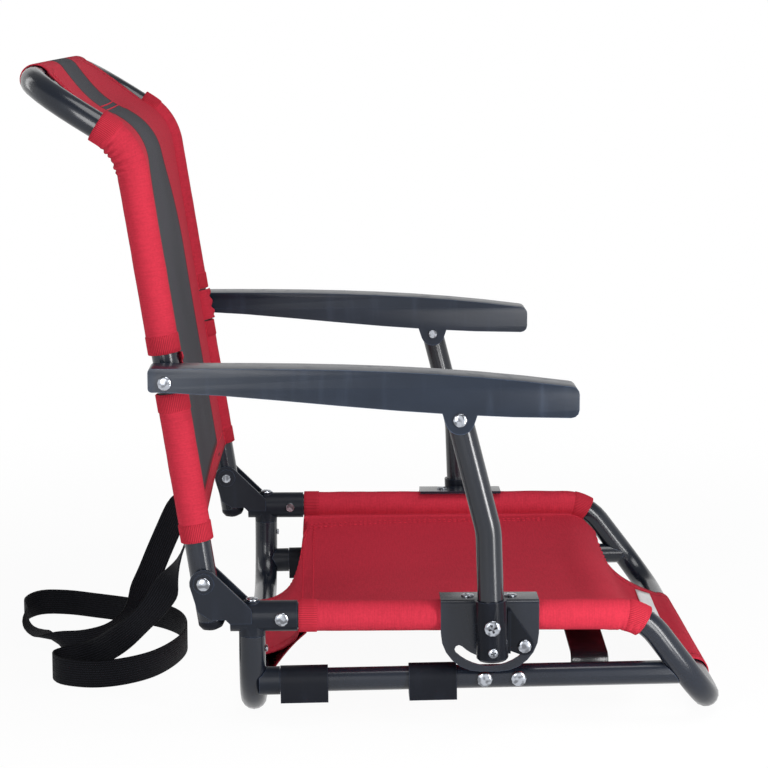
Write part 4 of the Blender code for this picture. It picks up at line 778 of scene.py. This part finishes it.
class STADIUM_OT_stage(Operator):
    """Make the camera, the floor, the lights and the white room"""

    bl_idname = "stadium.stage"
    bl_label = "Studio"

    FLOOR_REACH, SHADOW_FADE, CEILING_FADE = 24.0, (0.45, 1.3), (0.35, 0.65)

    def execute(self, context):
        studio = context.scene.stadium_studio
        self.camera(context)
        self.floor(studio)
        self.room(context, studio)
        boxes = {
            "front": ((-0.36, -1.15, 0.42), (0.05, -0.1, 0.22), (0.34, 0.60), studio.front_power),
            "overhead": ((0.42, -0.40, 1.5), (0.10, -0.05, 0.15), (1.0, 0.7), studio.key_power),
            "near_right": ((0.88, -0.98, 0.46), (0.05, 0, 0.2), (0.20, 0.75), studio.right_power),
            "far_left": ((-2.1, 0.9, 1.2), (-0.1, 0, 0.3), (0.4, 1.8), studio.left_power),
            "low_right": ((0.36, -0.55, 0.13), (0.13, -0.26, 0.16), (0.08, 0.24), studio.low_power),
        }
        for name, (place, aim, size, watts) in boxes.items():
            lamp = bpy.data.lights.new(name, "AREA")
            lamp.shape, lamp.size, lamp.size_y, lamp.energy = "RECTANGLE", *size, watts
            self.put(context, lamp, place, Vector(aim) - Vector(place)).visible_camera = False
        context.scene.view_settings.view_transform = "Standard"
        return {"FINISHED"}

    @staticmethod
    def put(context, data, place, way):
        """Add a lamp or a camera that points this way."""
        obj = bpy.data.objects.new(data.name, data)
        obj.location, obj.rotation_euler = place, way.to_track_quat("-Z", "Y").to_euler()
        context.scene.collection.objects.link(obj)
        return obj

    def camera(self, context):
        data = bpy.data.cameras.new("photo_view")
        data.lens, data.sensor_width = CAMERA_LENS, CAMERA_SENSOR
        data.clip_start, data.clip_end = 0.05, 60
        flat, drop = cos(CAMERA_PITCH), sin(CAMERA_PITCH)
        way = Vector((sin(CAMERA_YAW) * flat, cos(CAMERA_YAW) * flat, -drop))
        context.scene.camera = self.put(context, data, CAMERA_PLACE, way)

    def floor(self, studio):
        """A wide floor that stays white to the camera and takes a pale shadow near the seat."""
        bm = bmesh.new()
        corners = ((-1, -1, 0), (1, -1, 0), (1, 1, 0), (-1, 1, 0))
        bm.faces.new([bm.verts.new(Vector(corner) * self.FLOOR_REACH) for corner in corners])
        made = Finish("white_floor", Roughness=0.9, Specular_IOR_Level=0.0, Emission_Strength=1.0)
        x, y, _ = made.axes(made.place())
        away = x.math("SQRT", x * x + y * y).step(*self.SHADOW_FADE)
        glow = studio.floor_glow + away * (1 - studio.floor_glow)
        seen = made.seen_rays()
        made.vary("Base Color", made.mix(seen * glow, studio.floor, (0, 0, 0)))
        made.vary("Emission Color", made.mix(seen * glow, (0, 0, 0), (1, 1, 1)))
        make_object("studio_floor", bm, made.material)

    def room(self, context, studio):
        world = bpy.data.worlds.new("white_room")
        context.scene.world = world
        world.use_nodes = True
        graph = Graph(world.node_tree)
        background = world.node_tree.nodes["Background"]
        background.inputs["Color"].default_value = (1, 1, 1, 1)
        way = graph.node("ShaderNodeTexCoord", {}, {}, "Generated")
        up = graph.outputs(graph.node("ShaderNodeSeparateXYZ", {}, {0: way}))[2]
        white = graph.seen_rays() * (1 - up.step(*self.CEILING_FADE) * studio.ceiling)
        level = studio.room_light + white * (1 - studio.room_light)
        world.node_tree.links.new(level.socket, background.inputs["Strength"])


class STADIUM_OT_strap(Operator):
    """Lay the loose carry strap from seam to seam"""

    bl_idname = "stadium.strap"
    bl_label = "Carry strap"

    STANDS = (0.020, 0.060)
    TWISTS = {1: (0.070, 0.128), -1: (0.095, 0.150)}
    FLAT_AT, FLAT_REACH = Vector((-0.166, 0.028)), 0.062
    FLAT_FULL, FLAT_MOST, FLAT_WAY = 0.1, 0.9, (-0.9, -0.45, 0)
    BLEND_LOW, BLEND_HIGH = 0.060, 0.130

    # Places from the point below the hinge, on the floor where no height is given
    ROUTE = (
        (-0.019, -0.128, 0.140), (-0.031, -0.122, 0.108), (-0.050, -0.110, 0.074), (-0.076, -0.092, 0.045),
        (-0.102, -0.072, 0.023), (-0.126, -0.062), (-0.144, -0.078), (-0.136, -0.102), (-0.108, -0.114),
        (-0.080, -0.106), (-0.054, -0.080), (-0.036, -0.036), (-0.030, 0.010), (-0.038, 0.058),
        (-0.060, 0.092), (-0.092, 0.114), (-0.126, 0.132), (-0.156, 0.146), (-0.182, 0.146),
        (-0.194, 0.120), (-0.188, 0.080), (-0.174, 0.040), (-0.156, 0.006), (-0.132, -0.010),
        (-0.110, 0.006), (-0.098, 0.036, 0.013), (-0.088, 0.066, 0.021), (-0.074, 0.088, 0.046),
        (-0.060, 0.106, 0.078), (-0.046, 0.120, 0.108), (-0.030, 0.128, 0.138),
    )

    @staticmethod
    def seam(sign):
        """The sewn end behind the back panel, from its top to the panel's hem."""
        share = 1 - (STRAP_SEAM_SIDE / HALF_SPACING) ** 2
        panel = SLEEVE_RADIUS * cos(BACK_SLEEVE_START) - BACK_SAG * share
        behind = panel - CLOTH_THICKNESS / 2 - STRAP_THICKNESS / 2 - CLEARANCE
        lean, rise = sin(BACK_LEAN), cos(BACK_LEAN)
        return [
            (rise * behind - lean * length, sign * STRAP_SEAM_SIDE, HINGE.z + rise * length + lean * behind)
            for length in (STRAP_SEAM_TOP, BACK_HEM)
        ]

    def across(self, place, way):
        """The width's direction: upright on the floor but for one slack twist, then turned to the side,
        then flat behind the back."""
        away = (place.xy - HINGE.xy - self.FLAT_AT).length
        near = 1 - smooth(away, self.FLAT_FULL * self.FLAT_REACH, self.FLAT_REACH)
        flat = self.FLAT_MOST * near * (place.z < self.STANDS[0])
        side = Vector((0, 0, 1)).lerp(Vector(self.FLAT_WAY), flat)
        side = side.lerp(Vector((-1, 0, 0)), smooth(place.z, *self.STANDS))
        return side.lerp(Vector((0, way, 0)), smooth(place.z, *self.TWISTS[way]))

    def execute(self, context):
        floor = STRAP_WIDTH / 2 + CLEARANCE
        points = [*self.seam(-1), *((*place, floor)[:3] for place in self.ROUTE), *reversed(self.seam(1))]
        fine = smooth_route(points, STRAP_SPACING)
        route = [Vector((p.x + HINGE.x, p.y, max(p.z, floor))) for p in fine]
        half = len(route) // 2
        widths = [self.across(p, 1 if i < half else -1) for i, p in enumerate(route)]
        finish = webbing_finish("strap_webbing", context.scene.stadium_cloth.webbing, 0.62, 0.08, 0)
        strap = ribbon("carry_strap_webbing", route, widths, STRAP_WIDTH, STRAP_THICKNESS, finish)
        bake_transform(strap)
        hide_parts("carry_strap")
        return {"FINISHED"}


class STADIUM_OT_seat_cloth(Operator):
    """Sling the seat's cloth between its rails and round its cross tubes"""

    bl_idname = "stadium.seat_cloth"
    bl_label = "Seat cloth"

    def execute(self, context):
        cloth = context.scene.stadium_cloth
        knee = Vector((HINGE.x + KNEE_REACH, RAIL_HEIGHT))
        front = Vector((HINGE.x + FRONT_REACH, FLOOR_BAR_HEIGHT))
        slope = atan2(knee.y - front.y, front.x - knee.x)
        rear = Vector((HINGE.x + SEAT_REAR_REACH, RAIL_HEIGHT))
        straight = knee.x - KNEE_RADIUS * tan(slope / 2) - rear.x
        path = TubePath(rear, (1, 0), 1, straight, KNEE_RADIUS, slope)
        end = straight + path.bend * SEAT_BEND_SHARE
        panel = []
        for length in path.lengths(0, end):
            hollow = sin(pi * min(1, length / straight)) ** SAG_POWER
            sag = SEAT_SAG * (LEAST_SAG + (1 - LEAST_SAG) * hollow)
            bent = smooth(length, straight - SEAT_BEND_RAMP, straight)
            gather = SEAT_GATHER * bent * pucker(length)
            dip = REAR_DIP * max(0, 1 - length / straight) ** DIP_POWER
            drop = SEAT_DROP + sag * (1 - bent) + dip
            panel.append(sleeved_row(path, length, SEAT_SLEEVE_START, drop, gather))
        rear_bar = round_bar((HINGE.x + LEG_REACH, FLOOR_BAR_HEIGHT), *REAR_WRAP, REAR_FLAP_HALF)[::-1]
        front_bar = round_bar(front, *FRONT_WRAP, FRONT_FLAP_HALF)
        rear_flap = flap(rear_bar[-1], panel[0], **REAR_FLAP)
        corner = self.corner(panel[-1], front_bar[0])
        front_flap = [corner, *flap(front_bar[0], corner, **FRONT_FLAP)[::-1]]
        pocket = self.pocket(rear_bar[0], panel)
        rows = [*pocket, *rear_bar, *rear_flap, *panel, *front_flap, *front_bar]

        finish = cloth_finish("seat_red_cloth", cloth)
        sheet = ClothGrid(rows, *SEAT_RIPPLE).make("seat_cloth_panel", finish)
        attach(sheet, "base")
        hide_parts("seat_cloth")
        trim = Trim()
        for low, high in ((0, BINDING_WIDTH), (end - BINDING_WIDTH, end)):
            trim.bind(path, low, high, SEAT_SLEEVE_START)
        for inset in SEAT_SEAMS:
            trim.sew(panel, inset)
        for edge in (rear_flap, front_flap):
            trim.sew(edge, HEM_INSET)
        for row in panel[:3:2]:
            trim.sew_across(row, row.half - SEAT_SEAMS[0])
        binding = trim.make("seat_cloth_trim", binding_finish("seat_binding", cloth.binding))
        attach(binding, "base")
        self.label(front_flap, label_finish("blank_label", cloth.label))
        return {"FINISHED"}

    @staticmethod
    def corner(panel_row, bar_row):
        """The row where the front edges turn from the sleeves' ends into their hollow curve."""
        reach, height = FRONT_CORNER
        middle = panel_row.middle.lerp(bar_row.middle, FRONT_CORNER_SHARE)
        return Row(middle, (HINGE.x + reach, height), FRONT_CORNER_HALF, panel_row.normal)

    @staticmethod
    def pocket(bar_row, panel):
        """Rows of the rear flap's under layer, from its seam below the panel back to the cross tube."""
        row = min(panel, key=lambda row: abs(row.middle.x - panel[0].middle.x - POCKET_SEAM))
        down = Vector((0, -POCKET_DROP))
        edge = row.point(POCKET_HALF).xz
        seam = Row(row.middle + down, edge + down, POCKET_HALF, -row.normal)
        return [seam, *flap(bar_row, seam, **POCKET_FLAP)[::-1]]

    @staticmethod
    def label(rows, finish):
        """A blank woven label sewn along the front flap."""
        bm = bmesh.new()
        uv = bm.loops.layers.uv.new("cloth")
        lines = []
        for x in spread(HINGE.x + LABEL_REAR, HINGE.x + LABEL_FRONT, LABEL_ROWS):
            line = []
            for y in spread(-LABEL_HALF, LABEL_HALF, LABEL_COLUMNS):
                places = [row.point(y) for row in rows]
                one, other = next((a, b) for a, b in zip(places, places[1:]) if a.x <= x < b.x)
                slope = (other - one).normalized()
                up = Vector((-slope.z, 0, slope.x))
                place = lerp(one, other, (x - one.x) / (other.x - one.x))
                line.append(bm.verts.new(place + up * (CLOTH_THICKNESS / 2 + LABEL_LIFT)))
            lines.append(line)
        for one, other in zip(lines, lines[1:]):
            for face in fill(bm, one, other):
                for loop in face.loops:
                    loop[uv].uv = (loop.vert.co.y, loop.vert.co.x)
        patch = make_object("front_label", bm, finish)
        thicken(patch, LABEL_THICKNESS)
        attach(patch, "base")


class STADIUM_OT_back_cloth(Operator):
    """Sling the back's cloth between its tubes and over the head bar"""

    bl_idname = "stadium.back_cloth"
    bl_label = "Back cloth"

    @staticmethod
    def striped_row(path, length, drop, gather=0.0):
        """A sleeved row with the stripe's half width and its distance from the hem."""
        row = sleeved_row(path, length, BACK_SLEEVE_START, drop, gather)
        taper = smooth(length, STRIPE_TAPER_START, STRIPE_TAPER_END)
        row.stripe, row.hem = lerp(STRIPE_LOW_HALF, STRIPE_HEAD_HALF, taper), length - BACK_HEM
        return row

    def execute(self, context):
        cloth = context.scene.stadium_cloth
        direction = Vector((-sin(BACK_LEAN), cos(BACK_LEAN)))
        turn = HEAD_LEAN - BACK_LEAN
        tangent = KINK_RADIUS * tan(turn / 2)
        straight = BACK_TO_KINK - tangent
        path = TubePath((HINGE.x, HINGE.z), direction, -1, straight, KINK_RADIUS, turn)
        end = straight + path.bend + SLEEVE_PAST_KINK - tangent
        sleeves = ((BACK_HEM, LOW_SLEEVE_TOP), (HIGH_SLEEVE_BASE, end))
        rows, stretches = [], []
        for low, high in sleeves:
            if rows:
                rows += self.notch(path)
            stretches.append([])
            for length in path.lengths(low, high):
                sag = lerp(BACK_SAG, KINK_SAG, smooth(length, straight - KINK_SAG_RAMP, straight))
                bent = smooth(length, straight - GATHER_RAMP, straight + GATHER_RAMP)
                bent *= 1 - smooth(length, end - GATHER_END, end)
                gather = BACK_GATHER * bent * pucker(length)
                stretches[-1].append(self.striped_row(path, length, sag, gather))
            rows += stretches[-1]
        head = Vector((-sin(HEAD_LEAN), cos(HEAD_LEAN)))
        bar = path.start + direction * BACK_TO_KINK + head * HEAD_LENGTH
        head_bar = round_bar(bar, *HEAD_WRAP, HEAD_FLAP_HALF)
        head_flap = flap(head_bar[0], rows[-1], **HEAD_FLAP)[::-1]
        for row in head_flap + head_bar:
            row.stripe = STRIPE_HEAD_HALF
        rows += head_flap + head_bar
        finish = cloth_finish("back_red_cloth", cloth)
        sheet = ClothGrid(rows, *BACK_RIPPLE).make("back_cloth_panel", finish)
        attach(sheet, "back")
        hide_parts("back_cloth")
        trim = Trim()
        for low, high in sleeves:
            trim.bind(path, low, low + BINDING_WIDTH, BACK_SLEEVE_START)
            trim.bind(path, high - BINDING_WIDTH, high, BACK_SLEEVE_START)
        for stretch in stretches:
            trim.sew(stretch, BACK_SEAM)
        trim.sew(head_flap, HEM_INSET)
        for row in head_flap[2:5:2]:
            trim.sew_across(row, row.stripe)
        trim.sew_across(stretches[0][3], HALF_SPACING - HEM_SEAM_INSET)
        binding = trim.make("back_cloth_trim", binding_finish("back_binding", cloth.binding))
        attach(binding, "back")
        return {"FINISHED"}

    def notch(self, path):
        """Rows past the arms, where the cut sleeve leaves a crumpled tab in front of the tube."""
        rows = []
        for length in spread(LOW_SLEEVE_TOP, HIGH_SLEEVE_BASE, TAB_SPACING)[1:-1]:
            row = self.striped_row(path, length, BACK_SAG)
            crumple = min(1.0, max(0.0, 0.5 + noise.noise(Vector((length / TAB_PITCH, 2, 19)))))
            row.turn = TAB_TURN * (LEAST_TAB + (1 - LEAST_TAB) * crumple)
            row.flare = TAB_FLARE * crumple
            rows.append(row)
        return rows


class STADIUM_OT_belt(Operator):
    """Stretch the webbing belt under the seat"""

    bl_idname = "stadium.belt"
    bl_label = "Seat belt"

    TURN, RISE, SHOULDER = 0.008, 0.010, 0.015
    TURN_RANGE, CROWN_STEP = (radians(20), radians(80), 0.2), 0.05

    def execute(self, context):
        low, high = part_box("seat_belt")
        inner = high.y - BELT_THICKNESS / 2
        x = (low.x + high.x) / 2
        crown = high.z - BELT_THICKNESS / 2
        half = [(inner, low.z), (inner, low.z + self.RISE)]
        for angle in spread(*self.TURN_RANGE):
            y = inner - self.TURN + self.TURN * cos(angle)
            half.append((y, low.z + self.SHOULDER + self.TURN * (sin(angle) - 0.5)))
        last_y, last_z = half[-1]
        for part in spread(0, 1, self.CROWN_STEP)[1:-1]:
            half.append((last_y * (1 - part), lerp(last_z, crown, sin(pi / 2 * part))))
        route = [Vector((x, y, z)) for y, z in half]
        route += [Vector((x, 0, crown))] + [Vector((x, -y, z)) for y, z in half[::-1]]
        finish = webbing_finish("belt_webbing", context.scene.stadium_cloth.webbing, 0.14, 0.5, 6)
        widths = [Vector((1, 0, 0))] * len(route)
        belt = ribbon("seat_belt_webbing", route, widths, BELT_WIDTH, BELT_THICKNESS, finish)
        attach(belt, "base")
        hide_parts("seat_belt")
        return {"FINISHED"}


class STADIUM_OT_finishes(Operator):
    """Give the hard pieces their finishes, with soft edges on the moulded ones"""

    bl_idname = "stadium.finishes"
    bl_label = "Hard pieces"

    EDGES = {"charcoal_moulded_plastic": 0.0006, "slate_arm_plastic": 0.0005}
    SAME_POINT, BEVEL_ANGLE, SPLIT_ANGLE = 0.00001, radians(40), radians(38)

    def execute(self, context):
        look = context.scene.stadium_finish
        finishes = {
            "charcoal_powder_coat": powder_coat("tube_powder_coat", look.paint, 0.40),
            "charcoal_moulded_plastic": moulded_plastic("bracket_plastic", look.moulded, 1500, 0.34, 0.22),
            "slate_arm_plastic": moulded_plastic("arm_plastic", look.arm, 1100, 0.24, 0.25),
            "bright_zinc": zinc_plate("zinc_plate", look.zinc),
            "black_nylon": moulded_plastic("pad_nylon", look.nylon, 1300, 0.42, 0.12),
        }
        dark = {
            "link_boot": moulded_plastic("boot_plastic", look.nylon, 1500, 0.20, 0.12),
            "link_tube": powder_coat("link_gloss_coat", shade(look.paint, 0.75), 0.46),
            "link_crank": powder_coat("crank_enamel", shade(look.paint, 0.5), 0.14),
        }
        for entry in FRAME["record"]["subparts"]:
            name, slot = entry["node"], entry["material_slot"]
            if slot in finishes:
                finish = dark.get(name.rpartition("_")[0], finishes[slot])
                self.dress(FRAME["nodes"][name], finish, self.EDGES.get(slot, 0.0))
        return {"FINISHED"}

    def dress(self, node, finish, edge):
        mesh = node.data
        mesh.materials.clear()
        mesh.materials.append(finish)
        if "custom_normal" in mesh.attributes:
            mesh.attributes.remove(mesh.attributes["custom_normal"])
        for face in mesh.polygons:
            face.use_smooth = True
        weld = node.modifiers.new("Weld", "WELD")
        weld.merge_threshold = self.SAME_POINT
        if edge:
            bevel = node.modifiers.new("Soft edges", "BEVEL")
            bevel.width, bevel.segments, bevel.angle_limit = edge, 2, self.BEVEL_ANGLE
            bevel.harden_normals = True
        split = node.modifiers.new("Sharp edges", "EDGE_SPLIT")
        split.split_angle = self.SPLIT_ANGLE


class STADIUM_PT_panel(Panel):
    """Lists the pieces of the seat's looks"""

    bl_label = "Stadium Seat"
    bl_idname = "STADIUM_PT_panel"
    bl_space_type = "VIEW_3D"
    bl_region_type = "UI"
    bl_category = "Stadium Seat"

    def draw(self, context):
        for operator in OPERATORS:
            self.layout.operator(operator.bl_idname)
        for settings in SETTINGS:
            group = getattr(context.scene, settings)
            for name in group.__annotations__:
                self.layout.prop(group, name)


SETTINGS = {
    "stadium_cloth": ClothSettings,
    "stadium_finish": FinishSettings,
    "stadium_studio": StudioSettings,
}
OPERATORS = (
    STADIUM_OT_stage,
    STADIUM_OT_strap,
    STADIUM_OT_seat_cloth,
    STADIUM_OT_back_cloth,
    STADIUM_OT_belt,
    STADIUM_OT_finishes,
)


def register():
    for made in (*SETTINGS.values(), *OPERATORS, STADIUM_PT_panel):
        bpy.utils.register_class(made)
    for name, group in SETTINGS.items():
        setattr(bpy.types.Scene, name, PointerProperty(type=group))


def unregister():
    for name in SETTINGS:
        delattr(bpy.types.Scene, name)
    for made in (STADIUM_PT_panel, *OPERATORS[::-1], *SETTINGS.values()):
        bpy.utils.unregister_class(made)


def main():
    register()
    for operator in OPERATORS:
        group, name = operator.bl_idname.split(".")
        getattr(getattr(bpy.ops, group), name)()


if __name__ == "__main__":
    main()
